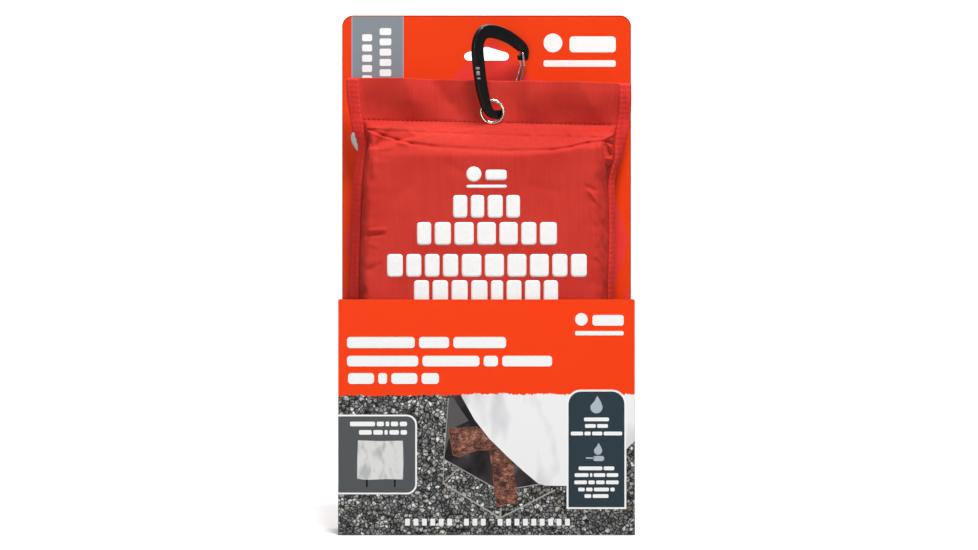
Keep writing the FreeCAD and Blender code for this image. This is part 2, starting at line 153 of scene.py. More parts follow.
def tube_faces(rings, columns):
    """Faces of a tube of rings, closed at both ends."""
    last = (rings - 1) * columns
    ends = [tuple(range(columns - 1, -1, -1)), tuple(last + i for i in range(columns))]
    return grid_faces(rings, columns, wrap=True) + ends


def prism(outline, put, near, far):
    """A solid between two copies of an outline of (u, v) points. put(u, v, h) gives a place at height h."""
    count = len(outline)
    points = [put(u, v, h) for h in (near, far) for u, v in outline]
    faces = [tuple(range(count)), tuple(range(2 * count - 1, count - 1, -1))]
    faces += [(i, i + count, (i + 1) % count + count, (i + 1) % count) for i in range(count)]
    return points, faces


def make_mesh(name, points, faces, material, smooth=True):
    """An object from points in millimetres."""
    mesh = bpy.data.meshes.new(name)
    mesh.from_pydata((np.asarray(points, float) * METRE).tolist(), [], faces)
    mesh.validate()
    mesh.update()
    mesh.polygons.foreach_set("use_smooth", [smooth] * len(mesh.polygons))
    if material:
        mesh.materials.append(material)
    made = bpy.data.objects.new(name, mesh)
    bpy.context.scene.collection.objects.link(made)
    return made


def join_shells(shells):
    """Points and faces of several (points, faces) shells as one."""
    points, faces = [], []
    for shell_points, shell_faces in shells:
        start = len(points)
        points.extend(shell_points)
        faces.extend(tuple(start + i for i in face) for face in shell_faces)
    return points, faces


def piece(name, shells, material, body, stands_for=None, smooth=True):
    """One mesh from (points, faces) shells. It rides on a body, and may stand for a CAD node."""
    made = make_mesh(name, *join_shells(shells), material, smooth)
    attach(made, body)
    if stands_for:
        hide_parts(stands_for)
    return made


def mesh_points(mesh):
    """A mesh's points in millimetres, one row each."""
    points = np.empty(len(mesh.vertices) * 3)
    mesh.vertices.foreach_get("co", points)
    return points.reshape(-1, 3) / METRE


def apply_modifiers(target):
    """Swaps an object's mesh for the result of its modifiers."""
    graph = bpy.context.evaluated_depsgraph_get()
    mesh = bpy.data.meshes.new_from_object(target.evaluated_get(graph))
    target.modifiers.clear()
    target.data = mesh


def drill(target, outline, y0, y1):
    """Cuts a hole with a given (x, z) outline through an object, from y0 to y1."""
    tool = make_mesh("drill", *prism(outline, lambda x, z, y: (x, y, z), y0, y1), None)
    hole = target.modifiers.new("hole", "BOOLEAN")
    hole.operation = "DIFFERENCE"
    hole.solver = "EXACT"
    hole.object = tool
    apply_modifiers(target)
    bpy.data.objects.remove(tool)


# ---------------------------------------------------------------- materials

class Look:
    """A Principled material and short ways to add nodes to it."""

    def __init__(self, name, color, roughness=0.5, metallic=0.0, **inputs):
        self.material = bpy.data.materials.new(name)
        self.material.use_nodes = True
        self.tree = self.material.node_tree
        self.shader = self.tree.nodes["Principled BSDF"]
        self.shader.inputs["Base Color"].default_value = color
        self.shader.inputs["Roughness"].default_value = roughness
        self.shader.inputs["Metallic"].default_value = metallic
        for label, value in inputs.items():
            self.shader.inputs[label.replace("_", " ")].default_value = value
        self.place = self.node("TexCoord").outputs["Object"]

    def node(self, kind, links=None, values=None, **settings):
        made = self.tree.nodes.new("ShaderNode" + kind)
        for label, value in settings.items():
            setattr(made, label, value)
        for label, value in (values or {}).items():
            made.inputs[label].default_value = value
        for label, source in (links or {}).items():
            self.tree.links.new(source, made.inputs[label])
        return made

    def math(self, operation, a, b=0.0):
        made = self.node("Math", operation=operation)
        for i, value in enumerate((a, b)):
            if isinstance(value, (int, float)):
                made.inputs[i].default_value = value
            else:
                self.tree.links.new(value, made.inputs[i])
        return made.outputs[0]

    def axes(self):
        parts = self.node("SeparateXYZ", {"Vector": self.place})
        return parts.outputs[0], parts.outputs[1], parts.outputs[2]

    def stretched(self, x=1.0, y=1.0, z=1.0, turn=(0, 0, 0)):
        """Object coordinates in millimetres, scaled along each axis."""
        return self.node("Mapping", {"Vector": self.place},
                         {"Scale": (x / METRE, y / METRE, z / METRE), "Rotation": turn}).outputs[0]

    def noise(self, size, detail=3.0, place=None, rough=0.5):
        """Noise whose features are about size millimetres across."""
        source = place or self.stretched()
        return self.node("TexNoise", {"Vector": source},
                         {"Scale": 1.0 / size, "Detail": detail, "Roughness": rough}).outputs["Fac"]

    def ramp(self, value, *stops):
        made = self.node("ValToRGB", {"Fac": value})
        band = made.color_ramp
        while len(band.elements) < len(stops):
            band.elements.new(0.5)
        for element, (position, color) in zip(band.elements, stops):
            element.position = position
            element.color = color if isinstance(color, tuple) else (color, color, color, 1)
        return made.outputs["Color"]

    def mix(self, share, a, b, blend="MIX"):
        made = self.node("Mix", data_type="RGBA", blend_type=blend)
        for label, value in (("Factor", share), ("A", a), ("B", b)):
            sockets = [s for s in made.inputs if s.name == label and s.enabled]
            if isinstance(value, (int, float, tuple)):
                sockets[0].default_value = value
            else:
                self.tree.links.new(value, sockets[0])
        return [s for s in made.outputs if s.enabled][0]

    def weighted(self, a, b, share):
        """share of a and the rest of b."""
        return self.math("ADD", self.math("MULTIPLY", a, share), self.math("MULTIPLY", b, 1 - share))

    def set(self, label, source):
        self.tree.links.new(source, self.shader.inputs[label])

    def vary_roughness(self, source, low, high):
        self.set("Roughness", self.ramp(source, (0.3, low), (0.7, high)))

    def bump(self, height, strength, depth, below=None):
        """Adds a bump of depth millimetres."""
        links = {"Height": height}
        if below:
            links["Normal"] = below
        made = self.node("Bump", links, {"Strength": strength, "Distance": depth * METRE})
        self.set("Normal", made.outputs[0])
        return made.outputs[0]

    def weave(self, pitch, along=(0, 2)):
        """Height of a plain weave with threads along two axes, pitch millimetres apart."""
        turns = 2 * math.pi / (pitch * METRE)
        axes = self.axes()
        waves = [self.math("SINE", self.math("MULTIPLY", axes[i], turns)) for i in along]
        return self.math("MULTIPLY", *waves)


def cloth_look(name, color, dark, pitch, roughness=0.55, sheen=0.12, along=(0, 2), gloss=0.10):
    """Coated woven cloth: fine threads, faint streaks along the warp and soft patches of tone."""
    look = Look(name, color, roughness, Sheen_Weight=sheen, Sheen_Roughness=0.4, Specular_IOR_Level=gloss)
    patches = look.noise(38.0, 3.0)
    streaks = look.noise(1.6, 2.0, look.stretched(1.0, 1.0, 0.05))
    look.set("Base Color", look.ramp(look.weighted(patches, streaks, 0.7), (0.32, dark), (0.62, color)))
    look.vary_roughness(look.noise(9.0), roughness - 0.09, roughness + 0.07)
    threads = look.bump(look.weave(pitch, along), 0.35, 0.12)
    look.bump(look.noise(14.0, 4.0), 0.30, 1.4, threads)
    return look.material


def print_base(name, color):
    return Look(name, color, 0.5, Specular_IOR_Level=INK_SHINE)


def board_look(name, color, printed, grey_below=None):
    """Printed board. printed(look) gives a mask of the printed faces; cut edges and inner faces stay bare.
    Below the height grey_below the ink is grey, so that no orange shows round the edges of the gravel."""
    look = print_base(name, color)
    bare = look.mix(look.noise(0.8, 4.0), display(203, 199, 190), display(226, 223, 215))
    tone = look.mix(look.noise(55.0, 2.0), dimmed(color, 0.965), color)
    if grey_below is not None:
        tone = look.mix(look.math("LESS_THAN", look.axes()[2], grey_below * METRE), tone, display(70, 71, 71))
    look.set("Base Color", look.mix(printed(look), bare, tone))
    look.vary_roughness(look.noise(3.0, 4.0), 0.44, 0.56)
    look.bump(look.noise(2.2, 5.0), 0.10, 0.12)
    return look.material


def ink(name, red, green, blue):
    """Flat print on board, with the faint mottle of coated stock."""
    color = display(red, green, blue)
    look = print_base(name, color)
    look.set("Base Color", look.mix(look.noise(6.0, 3.0), dimmed(color, 0.95), color))
    look.vary_roughness(look.noise(3.0, 4.0), 0.46, 0.55)
    return look.material


def screen_ink_look():
    """Thick white screen print on cloth, which shows the weave a little."""
    look = Look("screen_ink", display(250, 249, 247), 0.55)
    look.set("Base Color", look.mix(look.noise(2.5, 3.0), display(240, 238, 236), display(253, 253, 252)))
    look.bump(look.weave(0.7), 0.25, 0.08)
    return look.material


def gravel_look():
    """A printed picture of crushed stone: angular grains with dark gaps and facets, a few warm or pale."""
    look = print_base("gravel_print", display(88, 88, 88))
    grain_scale, facet_scale = 0.36, 0.95
    flat = look.stretched()
    wobble = look.node("TexNoise", {"Vector": flat}, {"Scale": 0.5, "Detail": 2.0})
    shifted = look.node("VectorMath", {0: flat, 1: wobble.outputs["Color"]}, operation="ADD")
    place = {"Vector": shifted.outputs[0]}
    grains = look.node("TexVoronoi", place, {"Scale": grain_scale})
    edges = look.node("TexVoronoi", place, {"Scale": grain_scale}, feature="DISTANCE_TO_EDGE")
    facets = look.node("TexVoronoi", place, {"Scale": facet_scale})
    hue = look.node("SeparateColor", {"Color": grains.outputs["Color"]})
    facet = look.node("SeparateColor", {"Color": facets.outputs["Color"]})
    grey = look.ramp(hue.outputs[0], (0.0, display(88, 89, 90)), (0.55, display(154, 155, 155)),
                     (0.85, display(200, 200, 197)), (1.0, display(238, 237, 232)))
    warm = look.ramp(hue.outputs[1], (0.0, display(150, 120, 105)), (0.5, display(120, 128, 104)),
                     (1.0, display(176, 150, 140)))
    color = look.mix(look.ramp(hue.outputs[2], (0.93, 0.0), (0.95, 0.7)), grey, warm)
    light = look.ramp(facet.outputs[0], (0.0, 0.30), (0.5, 0.72), (0.9, 1.25))
    color = look.mix(1.0, color, light, "MULTIPLY")
    gap = look.ramp(edges.outputs["Distance"], (0.02, 0.04), (0.20, 1.0))
    look.set("Base Color", look.mix(1.0, color, gap, "MULTIPLY"))
    return look.material


def bark_look(name, turn):
    """Printed charred wood, with its grain along a turned axis."""
    look = print_base(name, display(104, 72, 62))
    grain = look.noise(5.5, 6.0, look.stretched(0.5, 1.0, 1.1, turn), 0.8)
    specks = look.noise(2.6, 5.0, rough=0.85)
    look.set("Base Color", look.ramp(look.weighted(grain, specks, 0.5), (0.40, display(40, 28, 28)),
                                     (0.48, display(88, 56, 50)), (0.55, display(142, 92, 74)),
                                     (0.64, display(206, 158, 136))))
    return look.material


def ember_pit_look():
    """The printed inside of a metal fire pit: near black, with a few grey reflections."""
    look = print_base("pit_print", display(40, 36, 38))
    sheets = look.noise(17.0, 2.0, look.stretched(1.0, 1.0, 0.6, (0, 0.7, 0)))
    look.set("Base Color", look.ramp(sheets, (0.40, display(32, 28, 30)), (0.56, display(58, 54, 56)),
                                     (0.70, display(112, 108, 108))))
    return look.material


def drape_print_look(name, light, shade, size):
    """A printed picture of white cloth: pale folds with soft grey hollows."""
    look = print_base(name, light)
    folds = look.noise(size, 2.5, look.stretched(1.0, 1.0, 0.5, (0, 0.6, 0)))
    creases = look.noise(size * 0.45, 1.0, look.stretched(1.0, 1.0, 0.35, (0, -0.5, 0)))
    look.set("Base Color", look.ramp(look.weighted(folds, creases, 0.65), (0.38, shade), (0.50, light)))
    return look.material


def metal_look(name, color, roughness, scratch, metallic=1.0, groove=None, **inputs):
    """Metal with fine scratches in its roughness and brighter edges, partly wear and partly a painted
    highlight.
    groove is the radius of a dark line of painted shade round the eyelet's axis, where its rolled edge has a
    groove."""
    look = Look(name, color, roughness, metallic, **inputs)
    fine = look.noise(scratch, 4.0, look.stretched(1.0, 1.0, 6.0))
    look.vary_roughness(fine, roughness * 0.75, roughness * 1.35)
    # Brighter colour on sharp edges: partly wear, partly a painted highlight along the bevels.
    edge_wear_and_highlight = look.ramp(look.node("NewGeometry").outputs["Pointiness"], (0.54, 0.0), (0.62, 1.0))
    edge_wear_and_highlight_color = tuple(min(1.0, v * 2.2 + 0.03) for v in color[:3]) + (1,)
    finish = look.mix(look.math("MULTIPLY", edge_wear_and_highlight, 0.5), color, edge_wear_and_highlight_color)
    # Painted shade: a dark ring where the eyelet's rolled edge has its groove.
    if groove:
        x, _, z = look.axes()
        across = look.math("SUBTRACT", x, EYELET_X * METRE)
        up = look.math("SUBTRACT", z, EYELET_Z * METRE)
        square = look.math("ADD", look.math("MULTIPLY", across, across), look.math("MULTIPLY", up, up))
        past = look.math("SUBTRACT", look.math("SQRT", square), groove * METRE)
        away = look.math("ABSOLUTE", past)
        finish = look.mix(look.math("LESS_THAN", away, GROOVE_REACH * METRE), finish, display(70, 62, 54))
    look.set("Base Color", finish)
    look.bump(fine, 0.08, 0.05)
    return look.material


ORANGE_CARD = display(240, 62, 10)
ORANGE_TRAY = display(252, 64, 12)
RED_CLOTH = display(208, 60, 49)
RED_DARK = display(194, 49, 41)

screen_ink = screen_ink_look()
white_ink = ink("white_ink", 250, 250, 249)
dark_thread = cloth_look("dark_thread", display(158, 32, 28), display(138, 26, 24), 0.5, 0.6, 0.02)
pale_thread = cloth_look("pale_thread", display(232, 94, 78), display(208, 68, 56), 0.5, 0.6, 0.02)


def printed_card(look):
    facing = look.node("SeparateXYZ", {"Vector": look.node("NewGeometry").outputs["Normal"]}).outputs[1]
    return look.math("GREATER_THAN", look.math("ABSOLUTE", facing), 0.5)


def printed_tray(look):
    x, y, _ = look.axes()
    front = look.math("LESS_THAN", y, (TRAY_FRONT + 0.5) * METRE)
    sides = look.math("GREATER_THAN", look.math("ABSOLUTE", x), (HALF_WIDTH - 0.4) * METRE)
    return look.math("MAXIMUM", front, sides)


def printed_flap(look):
    return look.math("LESS_THAN", look.axes()[2], 0.3 * METRE)


def dress_cad(node, material):
    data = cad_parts[node].data
    if not data.materials:
        data.materials.append(material)
    for i in range(len(data.materials)):
        data.materials[i] = material


dress_cad("backing_card", board_look("card_board", ORANGE_CARD, printed_card))
dress_cad("front_tray", board_look("tray_board", ORANGE_TRAY, printed_tray, PICTURE_TOP - 1.5))
dress_cad("base_flap", board_look("flap_board", ORANGE_TRAY, printed_flap))
dress_cad("eyelet_barrel", metal_look("eyelet_nickel", display(226, 214, 196), 0.20, 1.2, groove=7.75))
dress_cad("eyelet_washer", metal_look("washer_nickel", display(214, 202, 184), 0.28, 1.2))
dress_cad("wire_gate", metal_look("gate_steel", display(205, 207, 204), 0.20, 0.8))
dress_cad("carabiner_body", metal_look("anodised_bar", display(16, 19, 20), 0.36, 1.5, 0.0, Coat_Weight=0.2,
                                       Coat_Roughness=0.06, Specular_IOR_Level=0.2))


# ---------------------------------------------------------------- prints on the board

def arc(x, z, radius, start, end, steps=8):
    """Points round part of a circle, with angles in degrees."""
    angles = np.radians(np.linspace(start, end, steps + 1))
    return [(x + radius * math.cos(a), z + radius * math.sin(a)) for a in angles]


def rounded(x0, z0, x1, z1, radius=0.0, square=()):
    """A rectangle's outline with round corners. square names corners to keep sharp: bl, br, tr or tl."""
    outline = []
    corners = (("bl", x0, z0, 180), ("br", x1, z0, 270), ("tr", x1, z1, 0), ("tl", x0, z1, 90))
    for name, x, z, start in corners:
        if radius == 0 or name in square:
            outline.append((x, z))
            continue
        cx = x + radius if x == x0 else x - radius
        cz = z + radius if z == z0 else z - radius
        outline += arc(cx, cz, radius, start, start + 90, 6)
    return outline


def disc(x, z, radius, steps=28):
    return arc(x, z, radius, 0, 360 - 360 / steps, steps - 1)


def stroke(points, width):
    """Quads along a polyline, as separate outlines."""
    outlines = []
    for (x0, z0), (x1, z1) in zip(points, points[1:]):
        length = math.hypot(x1 - x0, z1 - z0)
        px, pz = -(z1 - z0) / length * width / 2, (x1 - x0) / length * width / 2
        outlines.append([(x0 - px, z0 - pz), (x1 - px, z1 - pz), (x1 + px, z1 + pz), (x0 + px, z0 + pz)])
    return outlines


def torn_edge(x0, x1, z, seed):
    """A ragged line from x0 to x1, with long and short teeth."""
    dice = random.Random(seed)
    count = int(abs(x1 - x0) / TEAR_STEP)
    slow = [dice.uniform(-1, 1) for _ in range(count // 6 + 3)]
    points = []
    for i in range(count + 1):
        drift = np.interp(i / 6, range(len(slow)), slow)
        tooth = TEAR_DEPTH * (0.55 * drift + 0.6 * dice.uniform(-1, 1))
        points.append((x0 + (x1 - x0) * i / count, z + tooth))
    return points


def flame(x, z, height):
    """A plain drop with a leaning tip, height millimetres tall and standing on z."""
    radius = height * 0.34
    outline = arc(x, z + radius, radius, 160, 380, 16)
    tip = (x + radius * 0.15, z + height)
    right, left = outline[-1], outline[0]
    middle_right = (right[0] - radius * 0.22, z + height * 0.66)
    middle_left = (left[0] + radius * 0.62, z + height * 0.70)
    return outline + [middle_right, tip, middle_left]


PLACES = {
    "front": lambda u, v, h: (u, TRAY_FRONT - h, v),
    "left": lambda u, v, h: (-HALF_WIDTH - h, -u, v),
    "right": lambda u, v, h: (HALF_WIDTH + h, u, v),
    "card": lambda u, v, h: (u, CARD_FACE - h, v),
    "rear": lambda u, v, h: (-u, CARD_REAR + h, v),
}


def print_sheet(name, outlines, place, level, material):
    """Flat print: a thin solid per outline, level steps above the board. Outlines run anticlockwise."""
    shells = [prism(outline, PLACES[place], PRINT_STEP * level, -PRINT_STEP) for outline in outlines]
    return piece(name, shells, material, "carton", smooth=False)


def greek_line(x0, x1, z, height, word_gap, words):
    """Plain bars where a line of text would be. words are relative lengths."""
    usable = (x1 - x0) - word_gap * (len(words) - 1)
    bars = []
    x = x0
    for word in words:
        width = usable * word / sum(words)
        bars.append(rounded(x, z - height / 2, x + width, z + height / 2, min(height, width) * 0.3))
        x += width + word_gap
    return bars


def maker_mark(x, z, width):
    """A plain mark: a disc and two bars."""
    radius = width * 0.13
    return [
        disc(x + radius, z + width * 0.2 + radius, radius),
        rounded(x + width * 0.36, z + width * 0.2, x + width, z + width * 0.42, width * 0.05),
        rounded(x, z, x + width, z + width * 0.09, width * 0.03),
    ]


def card_prints():
    """The card's front: a large lozenge, a grey band with bars, a plain mark and a thin dark line of painted
    shade along its edge.
    """
    middle_z, half_x, half_z, tip_x, power = 207.0, 101.0, 145.0, 4.0, 1.5
    rises = np.sin(np.linspace(-math.pi / 2, math.pi / 2, 49))
    lozenge = []
    for side, shares in ((1, rises), (-1, rises[-2:0:-1])):
        for share in shares:
            reach = 1 - abs(share) ** power
            lozenge.append((side * half_x * reach + tip_x * abs(share), middle_z + half_z * share))
    lower = [[(side * 103.2, 174.9), (side * 88.0, 142.0), (side * 103.2, 142.0)] for side in (-1, 1)]
    outlines = [lozenge, lower[0], lower[1][::-1]]
    sheet = print_sheet("card_lozenge", outlines, "card", 1, ink("lozenge_ink", 236, 60, 52))
    end_x, end_z = 13.0, CARD_TOP - 29.5
    slot = arc(-end_x, end_z, 3.0, 100, 270) + arc(end_x, end_z, 3.0, -90, 80)
    slot += arc(0, CARD_TOP - 26.7, 4.0, 65, 115)
    drill(sheet, slot, CARD_FACE - 3, CARD_FACE + 3)
    band_left, band_right, band_low, band_top = -96.8, -60.1, 300.0, CARD_TOP - 0.5
    band = rounded(band_left, band_low, band_right, band_top)
    print_sheet("card_band", [band], "card", 2, ink("band_ink", 136, 144, 151))
    edges = [rounded(x - 0.4, band_low, x + 0.4, band_top) for x in (band_left, band_right)]
    print_sheet("card_band_lines", edges, "card", 3, ink("line_ink", 152, 172, 194))
    bars = []
    for x, width, first in ((-86.0, 7.2, 306.0), (-72.8, 8.4, 303.0)):
        for low in np.arange(first, CARD_TOP - 12, 7.4):
            bars.append(rounded(x - width / 2, low, x + width / 2, low + 5.0, 1.2))
    print_sheet("card_band_bars", bars, "card", 3, white_ink)
    print_sheet("card_mark", maker_mark(41, 332, 52), "card", 2, white_ink)
    # Painted shade: a thin darker line along the card's top and sides, where its rim falls into shade.
    width, radius = 0.7, 8.0
    x, top = HALF_WIDTH - width / 2, CARD_TOP - width / 2
    border = [(-x, TRAY_TOP)] + arc(radius - x, top - radius, radius, 180, 90)
    border += arc(x - radius, top - radius, radius, 90, 0) + [(x, TRAY_TOP)]
    print_sheet("card_edge", stroke(border, width), "card", 3, ink("edge_ink", 190, 36, 12))


def rear_prints():
    """The card's rear: a pale panel of bars and two plain pictogram frames."""
    dice = random.Random(11)

    def ragged_row(left, z, count, ragged):
        words = [dice.uniform(2, 7) for _ in range(count)]
        return greek_line(left, 72 - dice.uniform(0, ragged), z, 3.0, 1.8, words)

    panel = [rounded(-84, 40, 84, 300, 8)]
    print_sheet("rear_panel", panel, "rear", 1, ink("rear_panel_ink", 240, 238, 234))
    bars = greek_line(-72, 40, 284, 8, 3, (5, 3, 6))
    for row in range(9):
        bars += ragged_row(-72, 268 - row * 8.4, 9, 26)
    for row in range(5):
        for top in (176, 112):
            bars += ragged_row(-14, top - row * 8.0, 5, 20)
    print_sheet("rear_bars", bars, "rear", 2, ink("rear_bar_ink", 96, 98, 101))
    frames = [rounded(-72, 138, -26, 182, 5), rounded(-72, 74, -26, 118, 5)]
    print_sheet("rear_frames", frames, "rear", 2, ink("rear_frame_ink", 47, 61, 69))
    icons = [flame(-49, 146, 27), rounded(-64, 88, -34, 94, 3), flame(-49, 97, 16)]
    print_sheet("rear_icons", icons, "rear", 3, white_ink)


def tray_picture():
    """The lower half of the tray: gravel all round, a fire pit with two logs, and a white cloth over it."""
    gravel = gravel_look()
    low, right = 0.1, HALF_WIDTH - 0.2
    front = [(-right, low), (right, low)] + torn_edge(right, -right, PICTURE_TOP, 3)
    print_sheet("picture_gravel", [front], "front", 1, gravel)
    near, far = TRAY_FRONT + 0.3, -TRAY_FRONT - 1.5
    for side in ("left", "right"):
        outline = [(near, low), (far, low)] + torn_edge(far, near, PICTURE_TOP, 5)
        print_sheet(f"picture_gravel_{side}", [outline], side, 1, gravel)
    brim = [(-30.0, 53.2), (9.5, 30.8), (37.2, 35.7)]
    pit = brim + [(20, 60)] + torn_edge(-10, -26.5, PICTURE_TOP, 7)
    print_sheet("picture_pit", [pit], "front", 2, ember_pit_look())
    walls = [[(-29.6, 54), (-26.4, 96), (-23.5, 96), (-12.5, 80), (-21, 76), (-27, 66)]]
    print_sheet("picture_pit_wall", walls, "front", 3, ink("pit_wall_ink", 92, 88, 90))
    rim = stroke([(-30.5, 36.4), (9.5, 11.9), (48.0, 31.5)], 0.9)
    rim += stroke([(-20.3, 46.2), (-30.5, 36.4)], 0.7) + stroke(brim, 0.5)
    rim += stroke([(-30.4, 37), (-29.8, 53.2), (-26.6, 96)], 0.45) + stroke([(10, 19), (9.6, 12)], 1.2)
    print_sheet("picture_rim", rim, "front", 3, ink("rim_ink", 176, 172, 168))
    bark_edge = ink("bark_edge_ink", 148, 90, 68)
    log = [(-26.5, 74.7), (-23.5, 55.8), (-19, 54.6), (-13, 57.4), (-6, 59.6), (4, 59.4), (11, 62),
           (-6.4, 76.2), (-14, 75.6)]
    print_sheet("picture_log_one", [log], "front", 4, bark_look("bark_one", (0, 0.1, 0)))
    print_sheet("picture_log_one_edge", stroke(log[:6], 0.4), "front", 5, bark_edge)
    log = [(1.9, 59.4), (4.6, 40), (7.2, 19.8), (14, 21.6), (21.9, 22.4), (20.6, 38), (17.6, 56),
           (9, 60.4)]
    print_sheet("picture_log_two", [log], "front", 5, bark_look("bark_two", (0, 1.4, 0)))
    print_sheet("picture_log_two_edge", stroke(log[1:5], 0.4), "front", 6, bark_edge)
    glow = [rounded(14.5, 57.5, 17.5, 61.5, 1.2)]
    print_sheet("picture_glow", glow, "front", 5, ink("glow_ink", 236, 120, 52))
    cloth = [(-17.5, 97.0), (-8.5, 80.9), (2, 67.4), (15.1, 54.6), (26, 44.6), (36, 36.2), (41, 34.6),
             (56, 34.4), (80, 36), (98, 60), (right, 66)] + torn_edge(right, -17.5, PICTURE_TOP + 1.2, 9)
    drape = drape_print_look("cloth_print", display(243, 242, 243), display(206, 205, 208), 26.0)
    print_sheet("picture_cloth", [cloth], "front", 6, drape)


def tray_panels():
    """Plain bars for the text, the inset with a small picture of the blanket, and the icon panel."""
    rows = ((-97.7, 13.7, 134.8, 7.8, (9, 4, 7)), (-97.7, 45.9, 121.8, 7.4, (10, 8, 2, 7)),
            (-97.0, -33.3, 109.6, 7.6, (3, 1, 3, 2)))
    bars = []
    for x0, x1, z, height, words in rows:
        bars += greek_line(x0, x1, z, height, 3.0, words)
    bars += maker_mark(62, 139.8, 34)
    slogan = np.linspace(-57, 55, 20)
    bars += [rounded(x, 6.6, x + 3.4, 11.4, 0.6) for i, x in enumerate(slogan) if i not in (6, 10)]
    print_sheet("tray_bars", bars, "front", 7, white_ink)
    left = -HALF_WIDTH + 0.15
    inset = [rounded(left, 28.5, -48.7, 84.3, 7.0, ("bl", "tl"))]
    print_sheet("inset_border", inset, "front", 7, white_ink)
    inset = [rounded(left, 29.7, -49.9, 83.1, 6.0, ("bl", "tl"))]
    print_sheet("inset_panel", inset, "front", 8, ink("inset_ink", 86, 89, 91))
    cloth = [[(-90.6, 39.4), (-84, 38.6), (-70, 39.2), (-58.6, 38.9), (-58.2, 50), (-58.5, 66.1),
              (-74, 65.8), (-90.0, 66.3), (-90.5, 52)]]
    drape = drape_print_look("inset_cloth_print", display(222, 222, 220), display(186, 187, 187), 7.0)
    print_sheet("inset_cloth", cloth, "front", 9, drape)
    straps = [rounded(x - 0.6, 33.6, x + 0.6, 38.9, 0.2) for x in (-83.8, -64.2)]
    print_sheet("inset_straps", straps, "front", 9, ink("strap_ink", 18, 18, 19))
    bars = greek_line(-95.6, -55.7, 77.8, 3.2, 1.2, (7, 2, 1, 2, 2))
    bars += greek_line(-89.3, -55.7, 71.9, 3.2, 1.2, (4, 3, 1, 3, 2))
    print_sheet("inset_bars", bars, "front", 9, white_ink)
    panel = [rounded(56.1, 18.2, 97.9, 101.8, 10.0, ("bl", "br"))]
    print_sheet("icon_border", panel, "front", 7, white_ink)
    panel = [rounded(57.4, 19.5, 96.6, 100.5, 8.8, ("bl", "br"))]
    print_sheet("icon_panel", panel, "front", 8, ink("icon_ink", 47, 61, 69))
    icons = [flame(77.0, 85.2, 12.4), flame(78.1, 56.2, 8.4), rounded(74.6, 51.8, 82.4, 55.4, 1.7),
             rounded(69.6, 53.4, 75.4, 54.4, 0.4)]
    print_sheet("icon_marks", icons, "front", 9, ink("icon_mark_ink", 178, 190, 196))
    bars = []
    lines = ((81.0, 17.5, (1,)), (76.4, 16, (5, 5)), (71.1, 36, (6, 3, 5, 9)), (46.7, 25, (9, 4)),
             (42.0, 30.5, (6, 1, 5, 5)), (36.9, 31, (6, 3, 4, 6)), (31.9, 25.5, (3, 3, 7, 2)),
             (27.3, 16.8, (3, 7)))
    for z, width, words in lines:
        bars += greek_line(77 - width / 2, 77 + width / 2, z, 2.6, 1.0, words)
    print_sheet("icon_bars", bars, "front", 9, white_ink)


card_prints()
rear_prints()
tray_picture()
tray_panels()


# ---------------------------------------------------------------- pouch

# The header's ridges and valleys, with flat facets between: (x at its foot, x at its top, how far back).
HEADER_WAVE = [
    (-103, -103, -0.5), (-85, -89.5, 2.6), (-47, -58, -4.4), (-17, -39, 3.4), (-5, -10, -0.5), (17, 16, -0.5),
    (32, 28, -3.0), (50, 45, -0.4), (80, 66, -3.4), (91, 90, 1.0), (104, 104, -1.2),
]
HEADER_FOOT = 293.0
HEADER_RISE = 27.0

